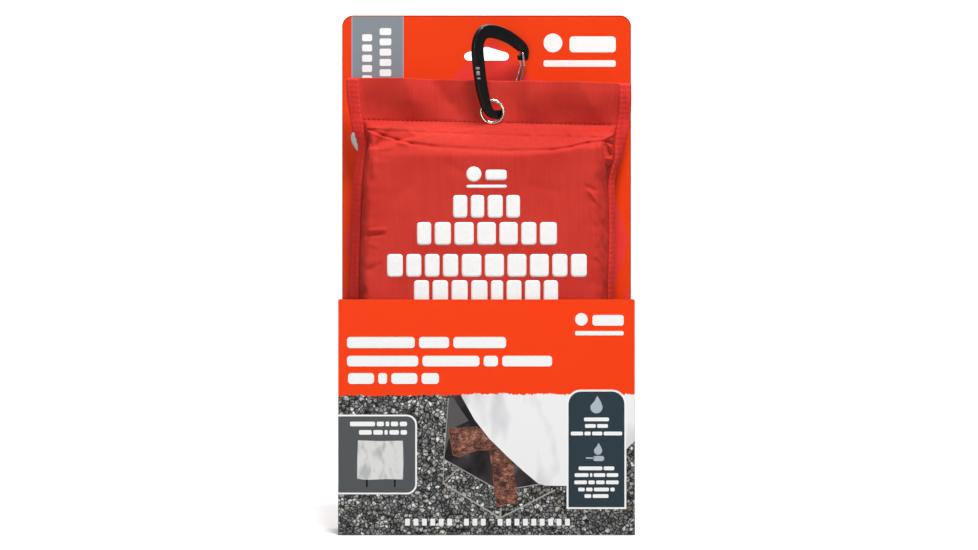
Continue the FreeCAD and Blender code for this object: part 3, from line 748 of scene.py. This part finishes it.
# Folds in the body as (x0, z0, x1, z1, width, height). A positive height goes back, a negative one forward.
BODY_FOLDS = [
    (-91, 286.5, -86, 283.5, 1.3, 2.6), (-87.5, 285, -84, 276, 1.3, 3), (-84, 278, -85.5, 264, 1.3, 3),
    (-85.5, 266, -88, 246, 1.4, 2.2), (-88, 291, -76, 284, 2, -1.2), (-81.5, 281, -82.5, 262, 1.6, -1),
    (-84, 283.2, -72, 278.8, 0.8, 1.3), (-74, 279.4, -62, 275.9, 0.8, 1.2), (-64, 276.3, -52, 273.4, 0.9, 1),
    (-54, 273.7, -36, 271.6, 1.1, 0.8), (-82, 280.6, -56, 272.6, 1.5, -0.6),
    (-40, 271.6, 16, 269.4, 1.6, 0.6), (14, 269.6, 48, 270.9, 1.3, 0.6), (44, 270.4, 60, 273.2, 1, 0.8),
    (58, 272.9, 72, 276.6, 0.9, 1), (70, 276.2, 82, 277.8, 0.8, 0.9), (-79, 276, -79.5, 250, 2.4, -0.7),
    (-88, 283, -34, 281.7, 0.7, 0.6), (-36, 281.9, 38, 280.6, 0.7, 0.5), (34, 281, 88, 280.4, 0.7, 0.6),
    (-84, 284.3, -60, 283.4, 0.8, -0.5), (-14, 284.6, 20, 283.8, 0.8, -0.4), (48, 283.6, 76, 283, 0.8, -0.4),
    (-62, 289, -50, 279, 1.2, -0.6), (-30, 288, -22, 280, 1.1, 0.5), (-44, 288, -40, 283, 0.9, 0.4),
    (20, 287, 36, 279, 1.4, -0.6), (52, 287, 60, 279, 1.2, 0.5), (66, 288, 72, 282, 0.9, 0.5),
    (82, 279, 93, 285.5, 1, -1.6), (83.5, 278.5, 92, 275.5, 1.4, 3), (84, 276, 88, 267.5, 1.3, 2.6),
    (90, 275, 92.5, 270, 1.2, 1.8), (82, 277, 83, 262, 1.2, 1), (84.5, 265.5, 93, 263.8, 1.2, -2.2),
    (84, 261.5, 92, 260.5, 1, 2), (85.5, 262, 87, 240, 1, 1.8), (79.5, 276, 80.5, 252, 1.8, -0.9),
    (89, 258, 88.5, 244, 0.9, -1), (87, 258, 81, 251, 1.4, -0.8), (-84, 212.5, -70, 213.5, 1.1, -1),
    (-85, 209, -72, 211, 1, 1.1), (-84, 204, -76, 202, 1.3, -0.6), (71, 243, 79, 233, 1, -1.2),
    (69, 245.5, 78, 242, 1.1, 0.9), (80, 232, 84, 206, 1.6, 0.8), (-83, 186, -74, 190, 1.4, 0.6),
    (76, 196, 83, 190, 1.3, -0.7), (-30, 262, -14, 252, 3, 0.3), (30, 246, 52, 240, 3.5, 0.3),
    (-66, 232, -52, 246, 3, 0.3),
]
FOLD_GAIN = 1.25
RIPPLES = ((8.6, 0.4), (13.7, 2.1), (22.9, 5.2))


def fold_field(folds, x, z):
    """Sum of soft ridges (negative, towards the front) and grooves along segments, fading at both ends."""
    total = np.zeros_like(x)
    for x0, z0, x1, z1, width, height in folds:
        length = math.hypot(x1 - x0, z1 - z0)
        ux, uz = (x1 - x0) / length, (z1 - z0) / length
        along = (x - x0) * ux + (z - z0) * uz
        across = (z - z0) * ux - (x - x0) * uz
        fade = 0.3 * length
        inside = smoothstep(along / fade + 0.5) * smoothstep((length - along) / fade + 0.5)
        total += height * inside * np.exp(-((across / width) ** 2))
    return total


def header_wave(x, z):
    """The header's zigzag of facets, with its corners slightly rounded."""
    x, z = np.broadcast_arrays(np.asarray(x, float), np.asarray(z, float))
    total = np.zeros(x.shape)
    for (foot0, top0, back0), (foot1, top1, back1) in zip(HEADER_WAVE, HEADER_WAVE[1:]):
        rise = np.clip((z - HEADER_FOOT) / HEADER_RISE, 0, 1)
        start = foot0 + (top0 - foot0) * rise
        end = foot1 + (top1 - foot1) * rise
        share = (x - start) / (end - start)
        inside = (share >= 0) & (share < 1)
        soft = 0.75 * share + 0.25 * smoothstep(share)
        total = np.where(inside, back0 + (back1 - back0) * soft, total)
    return total * np.clip((z - STITCH_Z + 1) / 14, 0, 1) ** 0.8


def ripple(run, shift):
    """A soft irregular wave along a seam."""
    waves = [np.sin(2 * math.pi * run / length + phase + shift) for length, phase in RIPPLES]
    return sum(waves) / len(waves)


def seam_puckers(side, x, z):
    """Small gathers in one body panel, next to both side seams and under the header's stitches."""
    total = np.zeros_like(x)
    for edge in (-1, 1):
        distance = np.abs(x - seam(edge, z)[0])
        reach = (1 - np.exp(-distance / 2.0)) * np.exp(-distance / 8.0)
        total += 0.8 * reach * ripple(z, edge + 2.0 * side)
    below = np.maximum(0, STITCH_Z - z)
    total += 0.6 * (1 - np.exp(-below / 1.4)) * np.exp(-below / 5.0) * ripple(1.5 * x, 3.0 + side)
    return total


def header_lean(x, z):
    """The header isn't quite level: height as built from the level height z."""
    return z - HEADER_SLOPE * x * smoothstep((z - 170) / 120)


def header_drape(x, z):
    """How far the flat header waves back. It leans forward towards its top and is flat round the eyelet."""
    away = np.hypot(x - EYELET_X, z - EYELET_Z)
    gathers = 0.30 * ripple(np.asarray(x, float), 1.0) * np.exp(-((z - STITCH_Z - 3) / 7.0) ** 2)
    forward = 3.4 + 1.4 * smoothstep((x - 10) / 30)
    lean = -forward * smoothstep((z - 290) / 25) * smoothstep((np.abs(x - EYELET_X) - 12) / 20)
    free = smoothstep((z - HEADER_LOW) / 12) * smoothstep((away - EYELET_FLAT) / 12)
    return (header_wave(x, z) + gathers + lean) * free


def seam(side, z):
    """Seam line and the flange outside it: (x, y, flange direction x, y) for side -1 or 1 at heights z."""
    z = np.asarray(z, float)
    edge = soft_curve(LEFT_EDGE if side < 0 else RIGHT_EDGE, z)
    body_turn, header_turn = LEFT_TURN if side < 0 else RIGHT_TURN
    turn = np.radians(body_turn + (header_turn - body_turn) * smoothstep((z - TURN_LOW) / TURN_RISE))
    flange_x, flange_y = side * np.cos(turn), np.sin(turn)
    x = edge - BINDING * flange_x
    return x, header_drape(x, z), flange_x, flange_y


def off_seam(side, z, out, forward):
    """A place (x, y) out along a seam's flange and forward of it."""
    x, y, flange_x, flange_y = seam(side, z)
    return x + out * flange_x + forward * side * flange_y, y + out * flange_y - forward * abs(flange_x)


def ridge_height(x):
    """Top of the padded face: it sags between its corners."""
    middle, left_rise, right_rise = 273.5, 9.0, 5.0
    return middle + left_rise * smoothstep((-x - 20) / 60) + right_rise * smoothstep((x - 24) / 56)


def body_section(depth):
    """A flat-topped cross-section from seam to seam, as (share of width, depth)."""
    width, power = 176.0, 0.8
    angle = np.linspace(0, math.pi / 2, 24)
    run = SIDE_ROUND * (1 - np.cos(angle) ** power)
    rise = depth * np.sin(angle) ** power
    x = np.concatenate([run, width - run[::-1]])
    y = np.concatenate([rise, rise[::-1]])
    length = np.concatenate([[0], np.cumsum(np.hypot(np.diff(x), np.diff(y)))])
    even = np.linspace(0, 1, BODY_COLUMNS)
    at = length[-1] * (even - EDGE_CROWDING * np.sin(2 * math.pi * even) / (2 * math.pi))
    return np.interp(at, length, x) / width, np.interp(at, length, y)


def panel_points(side, depth):
    """Grid of one panel's outer surface. side is -1 for the front panel and 1 for the rear one."""
    heights = [POUCH_HIGH]
    for (low, step), (high, _) in zip(GRID_HEIGHTS, GRID_HEIGHTS[1:]):
        heights += list(np.linspace(low, high, round((high - low) / step), endpoint=False))
    heights = np.sort(heights)
    share, profile = body_section(depth)
    flange = np.linspace(BINDING - 0.6, 0, FLANGE_COLUMNS + 1)[:-1]
    foot = STITCH_Z - 1.5
    rows = []
    for z in heights:
        left = np.stack(off_seam(-1, z, flange, -side * CLOTH_FACE), 1)
        right = np.stack(off_seam(1, z, flange[::-1], -side * CLOTH_FACE), 1)
        left_x, right_x = seam(-1, z)[0], seam(1, z)[0]
        x = left_x + share * (right_x - left_x)
        slope = np.clip((foot - z) / (foot - ridge_height(x)), 0, 1.25)
        eased = 0.8 + 0.2 * np.sin(np.clip((slope - 0.8) / 0.4, 0, 1) * math.pi / 2)
        lift = np.where(slope < 0.8, slope, eased)
        swell = math.sin(math.pi / 2 * min(1.0, max(0.0, (STITCH_Z - z) / SWELL_HEIGHT)))
        lift = SHOULDER_SHARE * lift + (1 - SHOULDER_SHARE) * swell
        y = header_drape(x, z) + side * (CLOTH_FACE + profile * np.clip(lift, 0, 1))
        row = np.concatenate([left, np.stack([x, y], 1), right])
        rows.append(np.column_stack([row, np.full(len(row), z)]))
    return np.array(rows)


def relax(points, faces, pinned, core):
    """Lets a sheet settle as cloth over the core. The sheet is ten times full size while it moves."""
    grow, frames, pressure, slack = 10.0, 22, 1.2, -0.012
    sheet = make_mesh("settling", points * grow, faces, None)
    block = make_mesh("settling_core", np.array(core[0]) * grow, core[1], None)
    block.modifiers.new("collision", "COLLISION")
    block.collision.thickness_outer = 0.004
    group = sheet.vertex_groups.new(name="pins")
    for index in np.flatnonzero(pinned):
        group.add([int(index)], 1.0, "REPLACE")
    cloth = sheet.modifiers.new("cloth", "CLOTH")
    settings = cloth.settings
    settings.quality = 8
    settings.mass = 0.25
    settings.tension_stiffness = settings.compression_stiffness = 40
    settings.shear_stiffness = 8
    settings.bending_stiffness = 1.2
    settings.vertex_group_mass = "pins"
    settings.use_pressure = True
    settings.uniform_pressure_force = pressure
    settings.shrink_min = slack
    settings.effector_weights.gravity = 0.0
    cloth.collision_settings.distance_min = 0.006
    cloth.point_cache.frame_start = 1
    cloth.point_cache.frame_end = frames
    scene = bpy.context.scene
    for number in range(frames):
        scene.frame_set(number + 1)
    graph = bpy.context.evaluated_depsgraph_get()
    moved = mesh_points(sheet.evaluated_get(graph).data) / grow
    for made in (sheet, block):
        bpy.data.objects.remove(made)
    scene.frame_set(1)
    return moved


def rounded_block(x, y, z, bevel):
    """A box with rounded edges between (low, high) spans, as points and faces."""
    work = bmesh.new()
    bmesh.ops.create_cube(work, size=1.0)
    spans = (x, y, z)
    for vertex in work.verts:
        vertex.co = [low + (share + 0.5) * (high - low) for share, (low, high) in zip(vertex.co, spans)]
    bmesh.ops.bevel(work, geom=work.edges[:], offset=bevel, segments=4, affect="EDGES", profile=0.5)
    work.verts.index_update()
    points = [tuple(vertex.co) for vertex in work.verts]
    faces = [tuple(vertex.index for vertex in face.verts) for face in work.faces]
    work.free()
    return points, faces


def pouch_panel(name, node, side, depth, material):
    """One panel: shaped, settled as cloth over the blanket, creased, thickened and holed for the eyelet."""
    grid = panel_points(side, depth)
    rows, columns = grid.shape[:2]
    points = grid.reshape(-1, 3)
    faces = grid_faces(rows, columns)
    if side > 0:
        faces = [face[::-1] for face in faces]
    z = points[:, 2]
    column = np.tile(np.arange(columns), rows)
    flange = (column <= FLANGE_COLUMNS) | (column >= columns - 1 - FLANGE_COLUMNS)
    pinned = flange | (z > STITCH_Z - 2.5) | (z < POUCH_LOW + 1)
    half = depth - 1.2
    points = relax(points, faces, pinned, rounded_block((-84, 80), (-half, half), (0, 271), 5.0))
    x, y, z = points.T.copy()
    over = np.maximum(0, np.abs(y) - depth) * np.sign(y)
    y = y - over + MOST_BULGE * np.tanh(over / MOST_BULGE)
    made = make_mesh(name, np.column_stack([x, y, z]), faces, material)
    finer = made.modifiers.new("finer", "SUBSURF")
    finer.levels = finer.render_levels = 1
    apply_modifiers(made)
    x, y, z = mesh_points(made.data).T
    inside = smoothstep((x - seam(-1, z)[0]) / 2) * smoothstep((seam(1, z)[0] - x) / 2)
    below_seam = smoothstep((STITCH_Z - z) / 3)
    if side < 0:
        y = y + FOLD_GAIN * fold_field(BODY_FOLDS, x, z) * below_seam * inside
    y = y + seam_puckers(side, x, z) * inside * below_seam
    y = y - side * 0.35 * np.exp(-(((z - STITCH_Z) / 0.9) ** 2))
    made.data.vertices.foreach_set("co", (np.column_stack([x, y, header_lean(x, z)]) * METRE).ravel())
    thick = made.modifiers.new("cloth", "SOLIDIFY")
    thick.thickness = CLOTH * METRE
    thick.offset = -1.0
    apply_modifiers(made)
    hole = [(EYELET_X + x, EYELET_Z + z) for x, z in disc(0, 0, EYELET_HOLE, 48)]
    drill(made, hole, -6, 6)
    made.data.materials.clear()
    made.data.materials.append(material)
    made.data.shade_smooth()
    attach(made, "pouch")
    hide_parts(node)
    return made


def binding(name, node, side, material):
    """Woven tape folded over one side of the pouch, slightly puckered by its stitches."""
    upper = [(0.1, 1.15), (2.0, 1.28), (5.0, 1.22), (8.4, 1.2)]
    bend = [(8.4 + 1.2 * math.cos(a), 1.2 * math.sin(a)) for a in np.linspace(1.1, -1.1, 7)]
    lower = [(across, -height) for across, height in reversed(upper)]
    inner = [(0.1, -0.68), (8.5, -0.66), (8.85, 0.0), (8.5, 0.66), (0.1, 0.68)]
    across, height = np.array(upper + bend + lower + inner).T
    phase = random.Random(21 + side).uniform(0, 6)
    rows = []
    for z in np.arange(POUCH_LOW, POUCH_HIGH + 0.6, 1.2):
        pucker = 0.12 * math.sin(z * 2 * math.pi / STITCH_PITCH + phase)
        sway = 0.35 * math.sin(z / 11.0 + phase) + 0.2 * math.sin(z / 4.3)
        out = across + np.where(across > 6, sway * 0.5, 0)
        forward = height * (1 + np.where(np.abs(height) > 1.0, pucker, 0))
        x, y = off_seam(side, z, out, forward)
        rows.append(np.column_stack([x, y, header_lean(x, np.full(len(x), z))]))
    faces = tube_faces(len(rows), len(across))
    if side < 0:
        faces = [face[::-1] for face in faces]
    piece(name, [(np.concatenate(rows), faces)], material, "pouch", node)


def spindle(start, end, radius):
    """One stitch: a short rod that narrows to a point at each end."""
    start, end = Vector(start), Vector(end)
    along = (end - start).normalized()
    side = along.orthogonal().normalized()
    other = along.cross(side)
    points = [tuple(start)]
    for share in (0.2, 0.8):
        centre = start.lerp(end, share)
        points += [tuple(centre + side * (radius * math.cos(a)) + other * (radius * math.sin(a)))
                   for a in np.linspace(0, 2 * math.pi, 6, endpoint=False)]
    points.append(tuple(end))
    turns = [(i, (i + 1) % 6) for i in range(6)]
    faces = [(0, 1 + after, 1 + i) for i, after in turns]
    faces += [(1 + i, 1 + after, 7 + after, 7 + i) for i, after in turns]
    faces += [(13, 7 + i, 7 + after) for i, after in turns]
    return points, faces


def binding_stitches(side):
    """Two visible rows per binding, one on its front and one on its rear."""
    shells = []
    for z in np.arange(POUCH_LOW + 3, POUCH_HIGH - 2, STITCH_PITCH):
        for forward in (1.30, -1.30):
            ends = []
            for level in (z, z + STITCH_LENGTH):
                x, y = off_seam(side, level, 1.9, forward)
                ends.append((float(x), float(y), float(header_lean(x, level))))
            shells.append(spindle(*ends, 0.24))
    return shells


def surface_of(target, side=-1):
    """A function (x, z) that gives the depth of an object's front surface, or with side 1 its rear one."""
    tree = BVHTree.FromObject(target, bpy.context.evaluated_depsgraph_get())

    def find(x, z):
        hit = tree.ray_cast(Vector((x, side * 60, z)) * METRE, Vector((0, -side, 0)))
        return hit[0].y / METRE if hit[0] else None

    return find


def stitch_row(points, find, lift, pitch=3.4, length=STITCH_LENGTH, radius=0.3, margin=0.0):
    """Stitches along a line of (x, z) points, moved by lift from the surface that find gives."""
    shells = []
    for (x0, z0), (x1, z1) in zip(points, points[1:]):
        run = math.hypot(x1 - x0, z1 - z0)
        for at in np.arange(margin, run - length - margin / 2, pitch):
            ends = []
            for reach in (at, at + length):
                x, z = x0 + (x1 - x0) * reach / run, z0 + (z1 - z0) * reach / run
                y = find(x, z)
                if y is not None:
                    ends.append((x, y + lift, z))
            if len(ends) == 2:
                shells.append(spindle(*ends, radius))
    return shells


def conforming_block(x0, z0, x1, z1, radius, find):
    """A thin rounded block of print that follows the cloth under it."""
    half_x, half_z = (x1 - x0) / 2, (z1 - z0) / 2
    centre_x, centre_z = (x0 + x1) / 2, (z0 + z1) / 2
    columns, rows = (max(4, int(span / 1.3) + 1) for span in (x1 - x0, z1 - z0))
    flat = []
    for v in np.linspace(-1, 1, rows):
        for u in np.linspace(-1, 1, columns):
            x, z = abs(u) * half_x, abs(v) * half_z
            wx, wz = x - (half_x - radius), z - (half_z - radius)
            if wx > 0 and wz > 0:
                shrink = max(wx, wz) / math.hypot(wx, wz)
                x, z = half_x - radius + wx * shrink, half_z - radius + wz * shrink
            flat.append((centre_x + math.copysign(x, u), centre_z + math.copysign(z, v)))
    heights = [find(x, z) for x, z in flat]
    known = [y for y in heights if y is not None]
    heights = [y if y is not None else known[0] for y in heights]
    points = [(x, y + lift, z) for lift in (-0.10, 0.05) for (x, z), y in zip(flat, heights)]
    return points, sheet_faces(rows, columns)


def pouch_print(find):
    """Rows of plain blocks where the pouch has its printed words, and a plain mark above them."""
    shells = []
    dice = random.Random(4)
    gap, height = 2.4, 16.0
    rows = ((-23.5, 23.5, 222.2, 4), (-48.8, 49.4, 203.2, 7), (-69.8, 70.4, 180.8, 10),
            (-50.9, 50.2, 162.4, 8))
    for x0, x1, z, count in rows:
        sizes = [dice.uniform(0.82, 1.18) for _ in range(count)]
        usable = (x1 - x0) - gap * (count - 1)
        x = x0
        for size in sizes:
            width = usable * size / sum(sizes)
            shells.append(conforming_block(x, z, x + width, z + height, 2.2, find))
            x += width + gap
    for corners in ((-14.2, 247.6, -3.6, 258.2, 5.2), (-0.8, 248.6, 14.2, 256.0, 2.0),
                    (-14.2, 243.2, 14.2, 245.4, 0.9)):
        shells.append(conforming_block(*corners, find))
    return shells


def pouch_stitches(name, side, find):
    """The seam under the header, clear of the eyelet, and the hem."""
    clear, sunk = 10, 0.04
    shells = []
    for x0, x1, z in ((-88, EYELET_X - clear, STITCH_Z), (EYELET_X + clear, 89, STITCH_Z), (-86, 82, 14)):
        row = [(x, float(header_lean(x, z))) for x in (x0, x1)]
        shells += stitch_row(row, find, side * sunk)
    piece(name, shells, dark_thread, "pouch")


pouch_cloth = cloth_look("pouch_cloth", RED_CLOTH, RED_DARK, 0.7, 0.5, 0.0, gloss=0.04)
binding_cloth = cloth_look("binding_cloth", display(228, 58, 50), display(198, 42, 37), 1.1, 0.65, 0.02,
                           (1, 2))
front_panel = pouch_panel("pouch_front", "pouch_front_panel", -1, FRONT_DEPTH, pouch_cloth)
rear_panel = pouch_panel("pouch_rear", "pouch_back_panel", 1, BACK_DEPTH, pouch_cloth)
for word, direction in (("left", -1), ("right", 1)):
    slot = f"binding_{word}"
    binding(slot, f"binding_tape_{word}", direction, binding_cloth)
    piece(f"binding_stitches_{word}", binding_stitches(direction), pale_thread, "pouch")
front_surface = surface_of(front_panel)
pouch_stitches("pouch_stitches_front", -1, front_surface)
pouch_stitches("pouch_stitches_rear", 1, surface_of(rear_panel, 1))
piece("pouch_print", pouch_print(front_surface), screen_ink, "pouch")


def carabiner_mark():
    """Three small bars etched on the carabiner's spine."""
    find = surface_of(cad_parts["carabiner_body"])
    bars = ((-7.6, 326.2, 2.8, 1.8), (-7.2, 322.2, 2.6, 3.0), (-6.6, 319.6, 2.4, 1.2))
    shells = [conforming_block(x, z, x + width, z + height, 0.4, find) for x, z, width, height in bars]
    piece("carabiner_mark", shells, ink("etched_grey", 150, 154, 154), "carabiner")


carabiner_mark()


def side_label():
    """A folded loop of pale woven ribbon, caught in the left seam at the shoulder."""
    low_z, high_z, rings = 269.6, 284.2, 17
    turns = np.linspace(-math.pi / 2, 3 * math.pi / 2, 14, endpoint=False)
    points = []
    for z in np.linspace(low_z, high_z, rings):
        share = (z - low_z) / (high_z - low_z)
        reach = 4.6 * math.sin(math.pi * min(1, max(0, share))) ** 0.6 + 0.05
        edge_x, edge_y = off_seam(-1, z, BINDING, 0)
        for a in turns:
            out = (reach / 2) * (1 + math.cos(a)) - 1.5
            points.append((edge_x - out, edge_y - 0.4 + 0.55 * math.sin(a), z))
    look = cloth_look("label_ribbon", display(196, 208, 208), display(150, 168, 168), 0.6, 0.35, 0.1, (1, 2))
    shell = (points, tube_faces(rings, len(turns)))
    piece("shoulder_label", [shell], look, "pouch", "side_label")


side_label()


# ---------------------------------------------------------------- blanket and pull tapes

def ribbon(path, half_width, thickness, centre_x, columns, wave):
    """A strip of cloth swept along a path of (y, z) points. wave(x, s) moves the strip off its path."""
    path = np.array(path, float)
    tangent = np.gradient(path, axis=0)
    tangent /= np.linalg.norm(tangent, axis=1)[:, None]
    normal = np.stack([-tangent[:, 1], tangent[:, 0]], 1)
    run = np.concatenate([[0], np.cumsum(np.hypot(*np.diff(path, axis=0).T))])
    xs = np.linspace(-half_width, half_width, columns)
    edge = np.minimum(1.0, (half_width - np.abs(xs)) / thickness + 0.35)
    sheets = []
    for side in (1, -1):
        for i in range(len(path)):
            offset = side * thickness / 2 * edge + wave(xs, run[i])
            sheets.append(np.column_stack([centre_x + xs, path[i, 0] + normal[i, 0] * offset,
                                           path[i, 1] + normal[i, 1] * offset]))
    return np.concatenate(sheets), [face[::-1] for face in sheet_faces(len(path), columns)]


def blanket():
    """The folded blanket: one long strip of white cloth in a concertina of thin legs."""
    low, high = [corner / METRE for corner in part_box("folded_blanket")]
    legs = 13
    pitch = (high.y - low.y) / legs
    path = []
    for leg in range(legs):
        y = low.y + pitch * (leg + 0.5)
        outward = abs(2 * leg / (legs - 1) - 1)
        top, bottom = high.z - pitch * 1.2 - 5.0 * outward ** 2, low.z + pitch * 1.2
        span = np.linspace(bottom, top, 40)
        if leg % 2:
            span = span[::-1]
        path += [(y + 0.18 * math.sin(z / 17 + leg), z) for z in span]
        if leg == legs - 1:
            break
        turn_z, rise = (top, 0.6 * pitch) if leg % 2 == 0 else (bottom, -0.6 * pitch)
        for angle in np.linspace(0, math.pi, 8)[1:-1]:
            path.append((y + pitch / 2 * (1 - math.cos(angle)), turn_z + rise * math.sin(angle)))

    def wave(x, s):
        return 0.10 * np.sin(x / 9.0 + s / 31.0) + 0.08 * np.sin(x / 23.0 - s / 13.0)

    strip = ribbon(path, (high.x - low.x) / 2, pitch * 0.86, 0.0, 44, wave)
    look = cloth_look("glass_cloth", display(242, 242, 238), display(214, 214, 209), 1.4, 0.75, 0.2)
    piece("blanket_stack", [strip], look, "blanket", "folded_blanket")


def pull_tape(word):
    """Black webbing: sewn down the blanket, round the pouch's hem and up behind the tray's front."""
    low, high = [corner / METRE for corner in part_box(f"pull_tape_{word}")]
    inset = 0.6
    inner, outer = high.y - inset, low.y + inset
    middle, radius = (inner + outer) / 2, (inner - outer) / 2
    path = [(inner, z) for z in np.linspace(62, POUCH_LOW, 24)]
    for angle in np.linspace(0, math.pi, 10)[1:-1]:
        path.append((middle + radius * math.cos(angle), POUCH_LOW - radius * math.sin(angle)))
    path += [(outer, z) for z in np.linspace(POUCH_LOW, high.z, 30)]

    def wave(x, s):
        return 0.03 * np.sin(s / 7.0 + x / 5.0)

    centre = (low.x + high.x) / 2
    strip = ribbon(path, (high.x - low.x) / 2, 1.05, centre, 13, wave)
    look = cloth_look(f"webbing_{word}", display(30, 30, 32), display(18, 18, 20), 1.6, 0.7, 0.25)
    piece(f"webbing_{word}", [strip], look, "blanket", f"pull_tape_{word}")
    left, right, box_low, box_high = centre - 9.0, centre + 9.0, 24.0, 56.0
    corners = [(left, box_low), (right, box_low), (right, box_high), (left, box_high), (left, box_low),
               (right, box_high), (left, box_high), (right, box_low)]
    shells = stitch_row(corners, lambda x, z: inner, -inset, pitch=3.0, length=2.2, radius=0.25, margin=0.4)
    piece(f"webbing_stitches_{word}", shells, pale_thread, "blanket")


blanket()
pull_tape("left")
pull_tape("right")


# ---------------------------------------------------------------- stage, light and camera

# The camera's place, in metres.
CAMERA_X = 0.00175
CAMERA_AWAY = 1.3895
CAMERA_Z = 0.1821


def stage_floor():
    """A pale floor that sweeps up into a backdrop. It bounces less light than it shows, so that folds keep
    their shading."""
    near, bend, radius, height, half_width = -3000, 900, 700, 4000, 4000
    profile = [(near, 0), (bend, 0)]
    for angle in np.linspace(0.1, math.pi / 2, 14):
        profile.append((bend + radius * math.sin(angle), radius - radius * math.cos(angle)))
    profile.append((bend + radius, height))
    points = [(x, y, z - 0.2) for y, z in profile for x in (-half_width, half_width)]
    look = Look("stage_floor", display(250, 250, 250), 0.8)
    seen = look.node("LightPath").outputs["Is Camera Ray"]
    pale = look.mix(look.noise(400.0), display(249, 249, 249), display(251, 251, 251))
    look.set("Base Color", look.mix(seen, display(158, 158, 158), pale))
    under = look.node("NewGeometry").outputs["Backfacing"]
    look.set("Alpha", look.math("SUBTRACT", 1.0, under))
    floor = make_mesh("stage_floor", points, grid_faces(len(profile), 2), look.material)


def area_light(name, place, target, size, power):
    data = bpy.data.lights.new(name, "AREA")
    data.energy = power
    data.size = size
    lamp = bpy.data.objects.new(name, data)
    lamp.location = place
    lamp.rotation_euler = (Vector(target) - Vector(place)).to_track_quat("-Z", "Y").to_euler()
    bpy.context.scene.collection.objects.link(lamp)


def studio():
    centre = (0, 0, 0.19)
    area_light("key", (0.40, -1.00, 2.20), centre, 0.7, 60)
    area_light("fill", (-0.50, -2.20, 0.15), centre, 0.8, 15)
    area_light("rear", (0.2, 1.5, 1.4), centre, 1.2, 6)
    area_light("backdrop", (0, 0.6, 2.0), (0, 1.9, 0.4), 1.6, 40)
    world = bpy.data.worlds.new("studio")
    world.use_nodes = True
    background = world.node_tree.nodes["Background"]
    background.inputs["Color"].default_value = (1, 1, 1, 1)
    background.inputs["Strength"].default_value = 0.12
    bpy.context.scene.world = world
    bpy.context.scene.view_settings.view_transform = "Standard"


def camera():
    """Square to the pack, level with its middle."""
    data = bpy.data.cameras.new("camera")
    data.lens = 72.0
    data.sensor_width = 36.0
    lens = bpy.data.objects.new("camera", data)
    lens.location = (CAMERA_X, -CAMERA_AWAY, CAMERA_Z)
    lens.rotation_euler = (math.pi / 2, 0, 0)
    bpy.context.scene.collection.objects.link(lens)
    bpy.context.scene.camera = lens


stage_floor()
studio()
camera()
